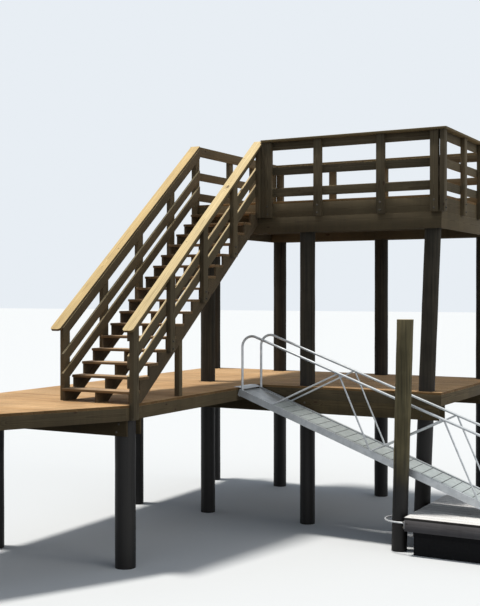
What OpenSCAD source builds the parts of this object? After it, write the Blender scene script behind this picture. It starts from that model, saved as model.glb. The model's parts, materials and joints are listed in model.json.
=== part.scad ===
// Timber jetty on round piles: a low deck with an approach walkway, a high lookout deck,
// an open-riser stair between them, and an aluminium gangway down to a landing float.
// X runs along the lookout's front edge, Y the way the stair climbs, Z up from low water.
// The origin is the foot of the tall pile at the front left of the lookout.

/* [Levels] */
// Top of the low deck above low water
lower_z = 2390; // [2200:10:2600]
// Top of the high deck above low water
upper_z = 5590; // [5300:10:5800]
// Height of the guards above the high deck
guard_h = 1070; // [950:10:1200]

/* [Piles] */
// Radius of the tall piles that carry the high deck
tall_pile_r = 125; // [100:5:145]
// Radius of the short piles under the low deck
short_pile_r = 152; // [120:4:152]
// X of the middle tall pile in the front row
mid_pile_x = 2005; // [1800:5:2200]
// X of the right tall pile in the front row
right_pile_x = 4130; // [3900:10:4180]
// Distance that the back row's middle pile stands right of the front one
mid_shift = 225; // [0:5:260]
// Distance that the back row's right pile stands right of the front one
right_shift = 130; // [0:5:140]
// Distance from the front row of tall piles to the back row
row_gap = 2940; // [2600:10:3200]
// X of the row of piles along the left edge
left_pile_x = -1575; // [-1800:5:-1400]

/* [Low deck] */
// Overhang of the left rim beyond the centres of the left piles
left_overhang = 195; // [195:5:300]
// Distance of the low deck's front corner before the front pile row
corner_reach = 4200; // [4160:10:4600]
// Distance of the low deck's front corner pile before the front pile row
corner_pile_reach = 3940; // [3600:10:3980]
// Overhang of the right end beyond the right front pile
end_overhang = 320; // [300:5:400]
// Angle of the approach walkway from the deck's own direction
walk_angle = 28; // [20:1:35]
// Width of the approach walkway
walk_w = 1830; // [1500:10:2100]
// Number of whole bays of the approach walkway
walk_bays = 2; // [1:1:6]
// Length of one bay of the approach walkway
walk_bay = 2440; // [2000:10:3000]

/* [Timber] */
// Thickness of the planks, rims, joists and beams
plank_t = 38; // [32:1:42]
// Depth of the joists and rims of the low deck
joist_h = 184; // [160:1:235]
// Depth of the bearer beams bolted to the piles
beam_h = 235; // [200:1:286]
// Depth of the band beams bolted round the tops of the tall piles
band_h = 268; // [235:1:286]
// Depth of the joists and rims of the high deck
high_rim_h = 240; // [200:1:286]
// Largest spacing of the joists
joist_gap = 460; // [400:10:600]
// Side of the square posts
post_w = 90; // [80:1:100]
// Width of the rails and caps
rail_w = 140; // [130:1:150]
// Overhang of a cap beyond the outer faces of its posts
cap_over = 20; // [5:1:30]

/* [Guards] */
// Depth from the cap's top to the top of the middle rail
mid_rail_drop = 475; // [400:5:520]
// Depth from the cap's top to the top of the lower rail
low_rail_drop = 850; // [780:5:870]
// Spacing of the posts along the front and the back
front_post_gap = 1050; // [900:10:1300]
// Spacing of the posts along the two ends
side_post_gap = 960; // [800:10:1300]
// Distance from the stair's top post to the first post of the front guard
head_post_gap = 105; // [95:1:150]
// Distance of the front guard's last post from the right end
end_post_inset = 74; // [50:1:120]

/* [Stair] */
// Number of risers from deck to deck
risers = 17; // [16:1:18]
// Depth of each step
going = 245; // [235:1:250]
// Distance of the stair's left side from the high deck's left rim
stair_inset = 58; // [45:1:80]
// Length of a tread
tread_len = 1220; // [1150:10:1300]
// Width of a tread board from nosing to back
tread_w = 270; // [260:2:290]
// Depth of the boards that the stringers are sawn from
stringer_h = 286; // [270:1:310]
// Height of the handrail cap above the lowest nosing
stair_rail_h = 975; // [900:5:1030]
// Depth from the handrail cap's top to the top of the stair's middle rail
stair_mid_drop = 440; // [380:5:480]
// Depth from the handrail cap's top to the top of the stair's lower rail
stair_low_drop = 730; // [680:5:760]
// Number of goings between stair posts
post_every = 4; // [3:1:5]
// Distance from the foot of the stringers to the centre of the foot posts
first_post = 65; // [50:1:90]
// Reach of the stair rails before the foot posts
rail_reach = 50; // [20:1:80]
// Reach of the handrail caps before the foot posts
cap_reach = 137; // [90:1:180]
// Number of the tread that the prop stands under
prop_step = 6; // [4:1:8]

/* [Gangway] */
// Width of the gangway over its side channels
gang_w = 730; // [650:5:740]
// Length of the gangway from its hinge to its foot
gang_len = 4700; // [4600:10:4700]
// Depth of the side channels
channel_h = 110; // [100:1:112]
// Wall of the aluminium sections
channel_t = 6; // [4:1:8]
// Flange width of the side channels
flange_w = 45; // [42:1:60]
// Thickness of the gangway's deck plates
gang_deck_t = 12; // [8:1:14]
// Drop from the tops of the channels to the deck plates
gang_deck_drop = 18; // [10:1:20]
// Length of the smooth plate at the gangway's head
head_plate = 600; // [400:10:800]
// Depth of the cross-members
cross_h = 50; // [40:1:60]
// Spacing of the cross-members
cross_gap = 600; // [400:10:800]
// Height of the handrails over the side channels
gang_rail_h = 955; // [850:5:1050]
// Outer radius of the handrail tube
tube_r = 21; // [17:1:21]
// Outer radius of the handrail's struts
strut_r = 14; // [10:1:18]
// Radius of the handrail tube's bends
tube_bend = 185; // [120:5:220]
// Distance from the hinge to the foot of the first strut
strut_start = 630; // [500:10:700]
// Distance between the feet of neighbouring struts
strut_bay = 1870; // [1700:10:1880]
// Radius of the rollers at the gangway's foot
roller_r = 70; // [66:1:72]
// Distance of the rollers' centres below the line of the hinge pin
roller_drop = 38; // [34:1:42]
// Distance of the rollers' centres from the gangway's foot end
roller_inset = 40; // [30:1:60]
// Gap between the gangway and the deck beside it
gang_gap = 25; // [15:1:40]

/* [Float] */
// Length of the landing float
float_len = 4880; // [4000:10:5500]
// Width of the landing float
float_w = 2060; // [1900:10:2200]
// Reach of the float before the gangway's near side
float_reach = 462; // [440:1:520]
// Top of the float's deck above water
float_z = 590; // [570:5:610]
// Depth of the timber skirt
skirt_h = 175; // [160:5:240]
// Set-back of the drums inside the skirt
drum_inset = 110; // [80:5:150]
// Number of drums under the float
drums = 4; // [3:1:6]
// Radius of the guide piles
guide_r = 117; // [100:1:120]
// Height of the guide piles above low water
guide_h = 3590; // [3300:10:3900]
// Distance from the float's ends to the centres of the guide piles
guide_off = 147; // [135:1:180]
// Clear gap between a guide pile and its hoop
hoop_gap = 127; // [60:1:140]
// Radius of the hoop's bar
hoop_bar_r = 14; // [10:1:20]
// Depth of the hoop below the top of the skirt
hoop_drop = 60; // [30:5:90]

/* [Hidden] */
$fn = 48;
// Slack between a round pile and what is bolted or notched to it
seat = 0.3;
// Gap between the boards of one rim
hair = 0.5;
// Clearance of a notch round a pile
notch = 3;
// Overlap that makes fused pieces one solid
weld = 1;

wood = [0.52, 0.42, 0.27];
shade_wood = [0.40, 0.33, 0.21];
sunny = [0.78, 0.66, 0.42];
pile_wood = [0.26, 0.24, 0.20];
alloy = [0.74, 0.75, 0.76];

deck_under = lower_z - plank_t;
rim_base = deck_under - joist_h;
bearer_base = rim_base - beam_h;
high_under = upper_z - plank_t;
high_rim_base = high_under - high_rim_h;
band_base = high_rim_base - band_h;
cap_z = upper_z + guard_h;
cap_under = cap_z - plank_t;

// From a tall pile's centre to the outer face of a board bolted to it
skin = tall_pile_r + seat + plank_t;
face_front = -skin;
face_back = row_gap + skin;
face_left = left_pile_x - left_overhang;
face_end = right_pile_x + end_overhang;
high_left = -skin;
stair_left = high_left + stair_inset;
stair_right = stair_left + tread_len;

front_x = [0, mid_pile_x, right_pile_x];
back_x = [0, mid_pile_x + mid_shift, right_pile_x + right_shift];
corner_pile = [stair_right - plank_t - seat - short_pile_r, -corner_pile_reach];

// Plan of the low deck, whose front edge follows the walkway's direction
walk_dir = [-sin(walk_angle), -cos(walk_angle)];
walk_side = [-cos(walk_angle), sin(walk_angle)];
corner = [stair_right, -corner_reach];
bend_t = (corner[0] - walk_w * cos(walk_angle) - face_left) / sin(walk_angle);
bend_near = corner + walk_dir * bend_t;
bend_far = bend_near + walk_side * walk_w;
low_plan = [corner, [stair_right, face_front], [face_end, face_front], [face_end, face_back],
    [face_left, face_back], bend_far, bend_near];
high_plan = [[high_left, face_front], [face_end, face_front], [face_end, face_back], [high_left, face_back]];

function unit(v) = v / norm(v);
function inward(a, b) = let (d = unit(b - a)) [-d[1], d[0]];
// Plan drawn in by t on every side
function inset(p, t) = let (n = len(p)) [for (i = [0 : n - 1])
    let (m = inward(p[(i + n - 1) % n], p[i]), k = inward(p[i], p[(i + 1) % n]))
        p[i] + (m + k) * t / (1 + m * k)];

// Boards on edge round a plan, mitred at its corners
module ring_boards(p, z, h, t = plank_t) {
    q = inset(p, t);
    for (i = [0 : len(p) - 1]) {
        j = (i + 1) % len(p);
        d = unit(p[j] - p[i]) * hair;
        translate([0, 0, z]) linear_extrude(h)
            polygon([p[i] + d, p[j] - d, q[j] - d, q[i] + d]);
    }
}
module board_x(x0, x1, y, z, h) {
    translate([x0, y, z]) cube([x1 - x0, plank_t, h]);
}
module board_y(y0, y1, x, z, h) {
    translate([x, y0, z]) cube([plank_t, y1 - y0, h]);
}
module pile(x, y, r, top) {
    translate([x, y, 0]) cylinder(r = r, h = top);
}
module pile_notch(x, y, r) {
    side = 2 * (r + notch);
    translate([x - side / 2, y - side / 2, 0]) cube([side, side, upper_z + plank_t]);
}
module tall_pile_notches() {
    for (x = front_x) pile_notch(x, 0, tall_pile_r);
    for (x = back_x) pile_notch(x, row_gap, tall_pile_r);
}

// Round piles
module front_tall_piles() color(pile_wood)
    for (x = front_x) pile(x, 0, tall_pile_r, high_under);
module back_tall_piles() color(pile_wood)
    for (x = back_x) pile(x, row_gap, tall_pile_r, high_under);
module short_piles() color(pile_wood) {
    pile(left_pile_x, corner_pile[1], short_pile_r, deck_under);
    pile(corner_pile[0], corner_pile[1], short_pile_r, deck_under);
    for (y = [0, row_gap]) pile(left_pile_x, y, tall_pile_r, deck_under);
}

// A pair of bearers bolted to the two sides of a row of piles
module bearer_pair(x0, x1, y, r) {
    for (b = [y - r - seat - plank_t, y + r + seat]) board_x(x0, x1, b, bearer_base, beam_h);
}
module low_bearers() color(shade_wood) {
    bearer_pair(face_left + plank_t, stair_right - plank_t, corner_pile[1], short_pile_r);
    for (y = [0, row_gap]) bearer_pair(face_left + plank_t, face_end - plank_t, y, tall_pile_r);
}

// Joists stand against the piles and are spread evenly between them
function between(a, b) = let (n = ceil((b - a - plank_t) / joist_gap))
    [for (i = [0 : n]) a + (b - a - plank_t) * i / n];
pile_side = tall_pile_r + seat;
left_joists = between(left_pile_x + short_pile_r + seat, -pile_side);
mid_joists = between(pile_side, mid_pile_x - pile_side);
right_joists = between(mid_pile_x + mid_shift + pile_side, right_pile_x - pile_side);
module low_joists() color(shade_wood) difference() {
    intersection() {
        translate([0, 0, rim_base]) linear_extrude(joist_h) polygon(inset(low_plan, plank_t + seat));
        for (x = concat(left_joists, mid_joists, right_joists))
            board_y(bend_near[1], face_back, x, rim_base, joist_h);
    }
    pile_notch(corner_pile[0], corner_pile[1], short_pile_r);
}
module low_rim() color(wood) ring_boards(low_plan, rim_base, joist_h);
board_gap = 6;
module low_deck() color(sunny) difference() {
    translate([0, 0, deck_under]) linear_extrude(plank_t) polygon(low_plan);
    tall_pile_notches();
    translate([stair_right, face_front - weld, deck_under - weld])
        cube([board_gap, face_back - face_front + 2 * weld, plank_t + 2 * weld]);
}

// Approach walkway, drawn along its own axis and then turned into place
walk_len = walk_bays * walk_bay;
pile_in = short_pile_r + seat + plank_t;
module walk_place() {
    at = bend_far + walk_dir * hair;
    translate([at[0], at[1], 0]) rotate(-90 - walk_angle) children();
}
function walk_pile_x(i) = min(max(i * walk_bay, pile_in), walk_len - pile_in);
module walkway_piles() color(pile_wood) walk_place()
    for (i = [0 : walk_bays], y = [pile_in, walk_w - pile_in])
        pile(walk_pile_x(i), y, short_pile_r, deck_under);
module walkway_bearers() color(shade_wood) walk_place()
    for (i = [0 : walk_bays], d = [-pile_in, short_pile_r + seat])
        board_y(0, walk_w, walk_pile_x(i) + d, bearer_base, beam_h);
walk_joists = 3;
module walkway_joists() color(shade_wood) walk_place()
    for (i = [1 : walk_joists])
        board_x(plank_t, walk_len - plank_t, i * walk_w / (walk_joists + 1) - plank_t / 2, rim_base, joist_h);
module walkway_rim() color(wood) walk_place()
    ring_boards([[0, 0], [walk_len, 0], [walk_len, walk_w], [0, walk_w]], rim_base, joist_h);
module walkway_deck() color(sunny) walk_place()
    translate([0, 0, deck_under]) cube([walk_len, walk_w, plank_t]);

// High deck on a band of beams bolted outside and inside its piles
module high_band() color(shade_wood) {
    ring_boards(high_plan, band_base, band_h);
    for (y = [pile_side, row_gap - pile_side - plank_t])
        board_x(high_left + plank_t + hair, face_end - plank_t - hair, y, band_base, band_h);
}
module high_joists() color(shade_wood)
    for (x = concat(mid_joists, right_joists))
        board_y(face_front + plank_t, face_back - plank_t, x, high_rim_base, high_rim_h);
module high_rim() color(wood) ring_boards(high_plan, high_rim_base, high_rim_h);
module high_deck() color(sunny)
    translate([0, 0, high_under]) linear_extrude(plank_t) polygon(high_plan);

// Guards: posts bolted outside the rim, three rails inside them and a flat cap on top
cap_in = rail_w - post_w - cap_over;
cap_out = post_w + cap_over;
module guard_panel(x0, x1, cap0, cap1, posts) {
    for (p = posts)
        translate([p - post_w / 2, -post_w, high_rim_base])
            cube([post_w, post_w, cap_under - high_rim_base]);
    for (top = [cap_under, cap_z - mid_rail_drop, cap_z - low_rail_drop])
        board_x(x0, x1, 0, top - rail_w, rail_w);
    translate([cap0, -cap_out, cap_under]) cube([cap1 - cap0, rail_w, plank_t]);
}
// Places from a to b at a spacing, with a shorter last bay
function stepped(a, b, gap) = concat([for (x = a; x < b - gap / 4; x = x + gap) x], [b]);
// Places from a to b in equal bays near a spacing
function spread(a, b, gap) = let (n = max(1, round((b - a) / gap))) [for (i = [0 : n]) a + (b - a) * i / n];
head_post_x = stair_right + post_w + head_post_gap;
module front_guard() color(wood) translate([0, face_front, 0])
    guard_panel(stair_right, face_end, stair_right + cap_out, face_end + cap_out,
        stepped(head_post_x, face_end - end_post_inset, front_post_gap));
module right_guard() color(wood) translate([face_end, 0, 0]) rotate(90)
    guard_panel(face_front + plank_t, face_back - plank_t, face_front + cap_in, face_back - cap_in,
        stepped(face_front + post_w / 2, face_back - post_w / 2, side_post_gap));
module back_guard() color(wood) translate([0, face_back, 0]) rotate(180)
    guard_panel(-face_end, -high_left, -face_end - cap_out, -high_left + cap_out,
        spread(-face_end + end_post_inset, -high_left - end_post_inset, front_post_gap));
module left_guard() color(wood) translate([high_left, 0, 0]) rotate(-90)
    guard_panel(-face_back + plank_t, -face_front, -face_back + cap_in, -face_front,
        stepped(-face_back + post_w / 2, -face_front - post_w / 2, side_post_gap));

// Stair: sawn stringers, open risers, plank treads
riser = (upper_z - lower_z) / risers;
pitch = atan(riser / going);
run = (risers - 1) * going;
foot_y = face_front - run;
nose = tread_w - going;
stringer_drop = stringer_h / cos(pitch);
// Height of the stringer's lower edge, and of its notches' corners, above the low deck
function stringer_under(a) = riser - plank_t - stringer_drop + a * riser / going;
function step_points() = [for (i = [1 : risers - 1], k = [i - 1, i]) [k * going, i * riser - plank_t]];
toe = (stringer_drop - riser + plank_t) * going / riser;
module stringer(x) {
    translate([x, foot_y, lower_z]) rotate([90, 0, 90]) linear_extrude(plank_t)
        polygon(concat([[0, 0]], step_points(), [[run, stringer_under(run)], [toe, 0]]));
}
module left_stringer() color(wood) stringer(stair_left);
module middle_stringer() color(wood) stringer((stair_left + stair_right - plank_t) / 2);
module right_stringer() color(wood) stringer(stair_right - plank_t);
module treads() color(sunny)
    for (i = [1 : risers - 1])
        translate([stair_left, foot_y + (i - 1) * going - nose, lower_z + i * riser - plank_t])
            cube([tread_len, tread_w, plank_t]);

// Stair handrails: the cap climbs from its height over the first nosing to the guards' cap
rail_slope = (cap_z - lower_z - riser - stair_rail_h) / run;
rail_pitch = atan(rail_slope);
slant = 1 / cos(rail_pitch);
function cap_line(y) = cap_z - (face_front - y) * rail_slope;
post_count = floor((run - first_post - 1.5 * post_w) / (post_every * going));
stair_posts = [for (i = [0 : post_count]) foot_y + first_post - post_w / 2 + i * post_every * going];
module slant_profile(y0, y1, drop, base0, base1) {
    polygon([[y0, cap_line(y0) - drop], [y1, cap_line(y1) - drop], [y1, base1], [y0, base0]]);
}
module stair_post(x, y, base) {
    translate([x, 0, 0]) rotate([90, 0, 90]) linear_extrude(post_w)
        slant_profile(y, y + post_w, plank_t * slant - weld, base, base);
}
module slant_rail(x, drop) {
    y0 = stair_posts[0] - rail_reach;
    low = drop + rail_w * slant;
    translate([x, 0, 0]) rotate([90, 0, 90]) linear_extrude(plank_t)
        slant_profile(y0, face_front, drop, cap_line(y0) - low, cap_line(face_front) - low);
}
module slant_cap(x) {
    cap_len = (face_front - stair_posts[0] + cap_reach) * slant;
    corner_r = rail_w / 3;
    intersection() {
        translate([x, face_front, cap_z]) rotate([rail_pitch, 0, 0]) translate([0, 0, -plank_t])
            linear_extrude(plank_t) union() {
                translate([0, corner_r - cap_len]) square([rail_w, cap_len]);
                translate([corner_r, -cap_len]) square([rail_w - 2 * corner_r, cap_len]);
                for (c = [corner_r, rail_w - corner_r])
                    translate([c, corner_r - cap_len]) circle(r = corner_r);
            }
        translate([x, foot_y - 2 * cap_reach, lower_z])
            cube([rail_w, face_front - foot_y + 2 * cap_reach, cap_z - lower_z]);
    }
}
module stair_rail(post_x, rail_x, cap_x, foot_base) {
    for (i = [0 : post_count])
        stair_post(post_x, stair_posts[i], i == 0 ? foot_base
            : lower_z + stringer_under(stair_posts[i] - foot_y));
    stair_post(post_x, face_front - post_w, high_rim_base);
    for (drop = [plank_t * slant - weld, stair_mid_drop, stair_low_drop]) slant_rail(rail_x, drop);
    slant_cap(cap_x);
}
module left_stair_rail() color(wood)
    stair_rail(stair_left - post_w, stair_left, stair_left - cap_out, lower_z);
module right_stair_rail() color(wood)
    stair_rail(stair_right, stair_right - plank_t, stair_right - cap_in, rim_base);
module stair_prop() color(wood)
    translate([stair_right - plank_t - post_w, foot_y + prop_step * going - post_w, lower_z])
        cube([post_w, post_w, prop_step * riser - plank_t]);

// Gangway, drawn level along X from its hinge and then tilted
gang_far = face_front - gang_gap;
gang_near = gang_far - gang_w;
// Depth of the hinge pin below the tops of the channels
pin_depth = 50;
// Drop from the low deck to the tops of the channels at the hinge
deck_step = 27;
// Distance of the hinge pin from the low deck's edge
hinge_out = 50;
hinge_x = stair_right + hinge_out;
hinge_z = lower_z - deck_step - pin_depth;
pin_r = 8;
pin_fit = 0.05;
pin_end = 10;
knuckle_r = 14;
lug_w = 40;
lug_gap = 6;
lug_in = 60;
bracket_t = 8;
bracket_h = 100;
bracket_top = 20;
head_end = -20;
cross_w = 40;
cross_start = 26;
deck_z = pin_depth - gang_deck_drop - gang_deck_t;
side_slack = 1;
threshold_slack = 6;
deck_y0 = gang_near + flange_w + side_slack;
deck_y1 = gang_far - flange_w - side_slack;
// The rollers at the foot stand just clear of the float's deck at low water, which sets the slope
foot_clear = 8;
roller_w = 40;
roller_side = 5;
roller_gap = 10;
axle_r = 10;
roller_x = gang_len - roller_inset;
gang_slope = asin((hinge_z - float_z - foot_clear - roller_r) / norm([roller_x, roller_drop]))
    - atan(roller_drop / roller_x);
module gang_place() {
    translate([hinge_x, 0, hinge_z]) rotate([0, gang_slope, 0]) children();
}
module along_y(x, y, z, r, w) {
    translate([x, y, z]) rotate([-90, 0, 0]) cylinder(r = r, h = w);
}
module channel(y, opens) {
    difference() {
        translate([head_end, y, pin_depth - channel_h])
            cube([gang_len - head_end, flange_w, channel_h]);
        translate([head_end - weld, y + opens * channel_t, pin_depth - channel_h + channel_t])
            cube([gang_len - head_end + 2 * weld, flange_w, channel_h - 2 * channel_t]);
    }
}

last_cross = roller_x - roller_r - cross_w - roller_gap;
cross_places = concat([for (x = cross_start; x < last_cross - cross_gap / 4; x = x + cross_gap) x], [last_cross]);
module gangway_channels() color(alloy) gang_place() {
    channel(gang_near, 1);
    channel(gang_far - flange_w, -1);
    for (x = cross_places)
        translate([x, gang_near + channel_t - weld, deck_z - cross_h])
            cube([cross_w, gang_w - 2 * (channel_t - weld), cross_h]);
}
module gangway_feet() color([0.12, 0.12, 0.12]) gang_place() {
    for (y = [gang_near + flange_w + roller_side, gang_far - flange_w - roller_side - roller_w])
        along_y(roller_x, y, -roller_drop, roller_r, roller_w);
    along_y(roller_x, gang_near + channel_t, -roller_drop, axle_r, gang_w - 2 * channel_t);
}
module gangway_plate() color(alloy) gang_place()
    translate([cross_start, deck_y0, deck_z])
        cube([head_plate - cross_start, deck_y1 - deck_y0, gang_deck_t]);
module gangway_deck() color(alloy) gang_place()
    translate([head_plate + hair, deck_y0, deck_z])
        cube([last_cross + cross_w - head_plate - hair, deck_y1 - deck_y0, gang_deck_t]);

// Hinge: lugs on the jetty's bracket, knuckles on the gangway and one long pin
module hinge_bracket() color(alloy) {
    translate([stair_right, gang_near + lug_in, hinge_z + bracket_top - bracket_h])
        cube([bracket_t, gang_w - 2 * lug_in, bracket_h]);
    for (y = [gang_near + lug_in, gang_far - lug_in - lug_w])
        difference() {
            union() {
                along_y(hinge_x, y, hinge_z, knuckle_r, lug_w);
                translate([stair_right, y, hinge_z - knuckle_r])
                    cube([hinge_out, lug_w, 2 * knuckle_r]);
            }
            along_y(hinge_x, y - weld, hinge_z, pin_r + pin_fit, lug_w + 2 * weld);
        }
}
module gangway_hinge() color(alloy) gang_place() {
    along_y(0, gang_near + lug_in - pin_end, 0, pin_r, gang_w - 2 * (lug_in - pin_end));
    for (y = [gang_near + lug_in + lug_w + lug_gap, gang_far - lug_in - 2 * lug_w - lug_gap]) {
        along_y(0, y, 0, knuckle_r, lug_w);
        translate([0, y, -knuckle_r]) cube([cross_start, lug_w, 2 * knuckle_r]);
    }
}
module threshold_plate() color(alloy) {
    lap = 95;
    reach = 100;
    fall = 28;
    t = 6;
    translate([stair_right, deck_y1 - threshold_slack, lower_z]) rotate([90, 0, 0])
        linear_extrude(deck_y1 - deck_y0 - 2 * threshold_slack)
            polygon([[-lap, 0], [0, 0], [reach, -fall], [reach, t - fall], [0, t], [-lap, t]]);
}

// Gangway handrails: one bent tube on each side, plumb at its head, over a W of struts
module rod(a, b, r) {
    d = b - a;
    translate(a) rotate([0, acos(d[2] / norm(d)), atan2(d[1], d[0])]) cylinder(r = r, h = norm(d), $fn = 24);
}
// A bend of the handrail's tube with the straight runs before and after it
tube_lap = 10;
tube_step = 0.5;
module tube_turn(x, z, from, angle, lead, tail) {
    translate([x, 0, z]) rotate([90, 0, 0]) rotate([0, 0, from]) {
        rotate_extrude(angle = angle) translate([tube_bend, 0]) circle(r = tube_r, $fn = 24);
        translate([tube_bend, 0, 0]) rotate([90, 0, 0]) cylinder(r = tube_r, h = lead, $fn = 24);
        if (tail > 0)
            rotate(angle) translate([tube_bend, -tube_lap, 0]) rotate([-90, 0, 0])
                cylinder(r = tube_r - tube_step, h = tail + tube_lap, $fn = 24);
    }
}
strut_bays = 2;
rail_foot = 140;
rail_z = pin_depth + gang_rail_h - tube_r;
// Struts stop beside the points where their centre lines would meet, and just under the tube
strut_end = strut_r + 8;
module strut(x0, x1) {
    foot = [x0, 0, pin_depth];
    head = [x1, 0, rail_z - tube_r];
    past = (head - foot) * 0.05;
    intersection() {
        rod(foot - past, head + past, strut_r);
        translate([min(x0, x1) - gang_w / 2, -strut_r - weld, pin_depth])
            cube([abs(x1 - x0) + gang_w, 2 * (strut_r + weld), gang_rail_h - 2 * tube_r - seat]);
    }
}
module handrail(y) {
    turn = 90 + gang_slope;
    bend_back = tube_bend * tan(turn / 2);
    bend_x = round(cross_start - (rail_z - pin_depth) * tan(gang_slope) + bend_back);
    foot_x = gang_len - rail_foot;
    post_len = (rail_z - pin_depth) / cos(gang_slope) - bend_back + tube_r;
    translate([0, y, 0]) {
        difference() {
            union() {
                tube_turn(bend_x, rail_z - tube_bend, 90, turn, foot_x - tube_bend - bend_x, post_len);
                tube_turn(foot_x - tube_bend, rail_z - tube_bend, 0, 90, rail_z - tube_bend - pin_depth, 0);
            }
            translate([head_end, -flange_w, pin_depth - channel_h])
                cube([2 * flange_w, 2 * flange_w, channel_h]);
        }
        for (i = [0 : strut_bays - 1]) {
            a = strut_start + i * strut_bay;
            strut(a + strut_end, a + strut_bay / 2 - strut_end);
            strut(a + strut_bay - strut_end, a + strut_bay / 2 + strut_end);
        }
    }
}
module near_handrail() color(alloy) gang_place() handrail(gang_near + flange_w / 2);
module far_handrail() color(alloy) gang_place() handrail(gang_far - flange_w / 2);

// Landing float and its guide piles
float_gap = 12;
guide_clear = 35;
drum_gap = 20;
float_x = right_pile_x + tall_pile_r + float_gap;
float_y = gang_near - float_reach;
guide_y = gang_near - guide_r - guide_clear;
guide_places = [float_x - guide_off, float_x + float_len + guide_off];
skirt_top = float_z - plank_t;
hoop_z = skirt_top - hoop_drop;
hoop_ring = guide_r + hoop_gap + hoop_bar_r;
module guide_piles() color(pile_wood)
    for (x = guide_places) pile(x, guide_y, guide_r, guide_h);
module float_deck() color([0.86, 0.85, 0.82])
    translate([float_x, float_y, skirt_top]) cube([float_len, float_w, plank_t]);
module float_skirt() color([0.55, 0.55, 0.53]) translate([float_x, float_y, 0])
    ring_boards([[0, 0], [float_len, 0], [float_len, float_w], [0, float_w]], skirt_top - skirt_h, skirt_h);
module float_drums() color([0.08, 0.08, 0.09]) {
    drum_len = (float_len - 2 * drum_inset - (drums - 1) * drum_gap) / drums;
    for (i = [0 : drums - 1])
        translate([float_x + drum_inset + i * (drum_len + drum_gap), float_y + drum_inset, 0])
            cube([drum_len, float_w - 2 * drum_inset, skirt_top]);
}
module hoop() {
    rotate_extrude(angle = 180) translate([hoop_ring, 0]) circle(r = hoop_bar_r, $fn = 16);
    for (x = [-hoop_ring, hoop_ring])
        translate([x, 0, 0]) rotate([90, 0, 0]) cylinder(r = hoop_bar_r, h = guide_off, $fn = 16);
}
module float_hoops() color(alloy) {
    translate([guide_places[0], guide_y, hoop_z]) rotate(90) hoop();
    translate([guide_places[1], guide_y, hoop_z]) rotate(-90) hoop();
}

front_tall_piles();
back_tall_piles();
short_piles();
walkway_piles();
guide_piles();
low_bearers();
low_joists();
low_rim();
low_deck();
walkway_bearers();
walkway_joists();
walkway_rim();
walkway_deck();
high_band();
high_joists();
high_rim();
high_deck();
front_guard();
right_guard();
back_guard();
left_guard();
left_stringer();
middle_stringer();
right_stringer();
treads();
left_stair_rail();
right_stair_rail();
stair_prop();
hinge_bracket();
threshold_plate();
gangway_hinge();
gangway_channels();
gangway_plate();
gangway_deck();
near_handrail();
far_handrail();
gangway_feet();
float_deck();
float_skirt();
float_drums();
float_hoops();
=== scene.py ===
"""Timber jetty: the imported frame, dressed with sawn boards, round piles, metalwork and finishes."""

import json
import logging
import math
from collections.abc import Callable, Iterable, Sequence
from dataclasses import dataclass, field
from enum import Enum
from functools import cached_property

import bpy
import numpy as np
from mathutils import Matrix, Vector

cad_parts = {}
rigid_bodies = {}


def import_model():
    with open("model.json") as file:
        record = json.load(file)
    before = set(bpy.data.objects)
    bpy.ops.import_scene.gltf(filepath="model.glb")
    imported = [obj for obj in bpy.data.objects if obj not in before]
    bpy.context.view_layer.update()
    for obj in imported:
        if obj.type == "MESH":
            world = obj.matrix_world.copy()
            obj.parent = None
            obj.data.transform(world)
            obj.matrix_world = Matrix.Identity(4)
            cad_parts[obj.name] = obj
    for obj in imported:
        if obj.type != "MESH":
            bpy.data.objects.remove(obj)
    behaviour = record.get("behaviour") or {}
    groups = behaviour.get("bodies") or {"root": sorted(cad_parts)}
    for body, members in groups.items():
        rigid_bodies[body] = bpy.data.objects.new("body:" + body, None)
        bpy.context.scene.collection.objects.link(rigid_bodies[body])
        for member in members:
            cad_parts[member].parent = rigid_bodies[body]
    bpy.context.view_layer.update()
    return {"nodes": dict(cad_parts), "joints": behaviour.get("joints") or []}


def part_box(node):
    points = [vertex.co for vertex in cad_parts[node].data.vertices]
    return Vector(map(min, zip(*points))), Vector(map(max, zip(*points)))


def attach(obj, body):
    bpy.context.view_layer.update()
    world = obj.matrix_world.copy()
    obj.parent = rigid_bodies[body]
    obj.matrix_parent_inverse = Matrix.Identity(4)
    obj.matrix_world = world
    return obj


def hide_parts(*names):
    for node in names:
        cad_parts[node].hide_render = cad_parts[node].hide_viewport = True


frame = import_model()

logging.basicConfig(level=logging.INFO, format="%(message)s")
LOG = logging.getLogger("jetty")

Thing = bpy.types.Object
Socket = bpy.types.NodeSocket
Node = bpy.types.Node
Triple = tuple[float, float, float]
Pair = tuple[float, float]
QUARTER = math.pi / 2
SMOOTH = math.radians(30)
PLUMB = 0.9


class Body(Enum):
    """The bodies of the frame that pieces ride on."""

    JETTY = "jetty"
    FLOAT = "float"
    GANGWAY = "gangway"


class Slot(Enum):
    """The material slots of the record."""

    PILES = "piles"
    BOARDS = "deck_boards"
    FRAMING = "framing"
    RAILS = "rails"
    METAL = "gangway_metal"
    ROLLERS = "rollers"
    FLOAT_DECK = "float_deck"
    FLOAT_SKIRT = "float_skirt"
    DRUMS = "drums"
    HOOPS = "hoops"


class Lie(Enum):
    """The ways that a straight board lies: where its length runs, and whether flat or on edge."""

    FLAT_X = (0.0, 0.0, 0.0)
    FLAT_Y = (0.0, 0.0, QUARTER)
    EDGE_X = (QUARTER, 0.0, 0.0)
    UPRIGHT = (0.0, -QUARTER, 0.0)


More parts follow.
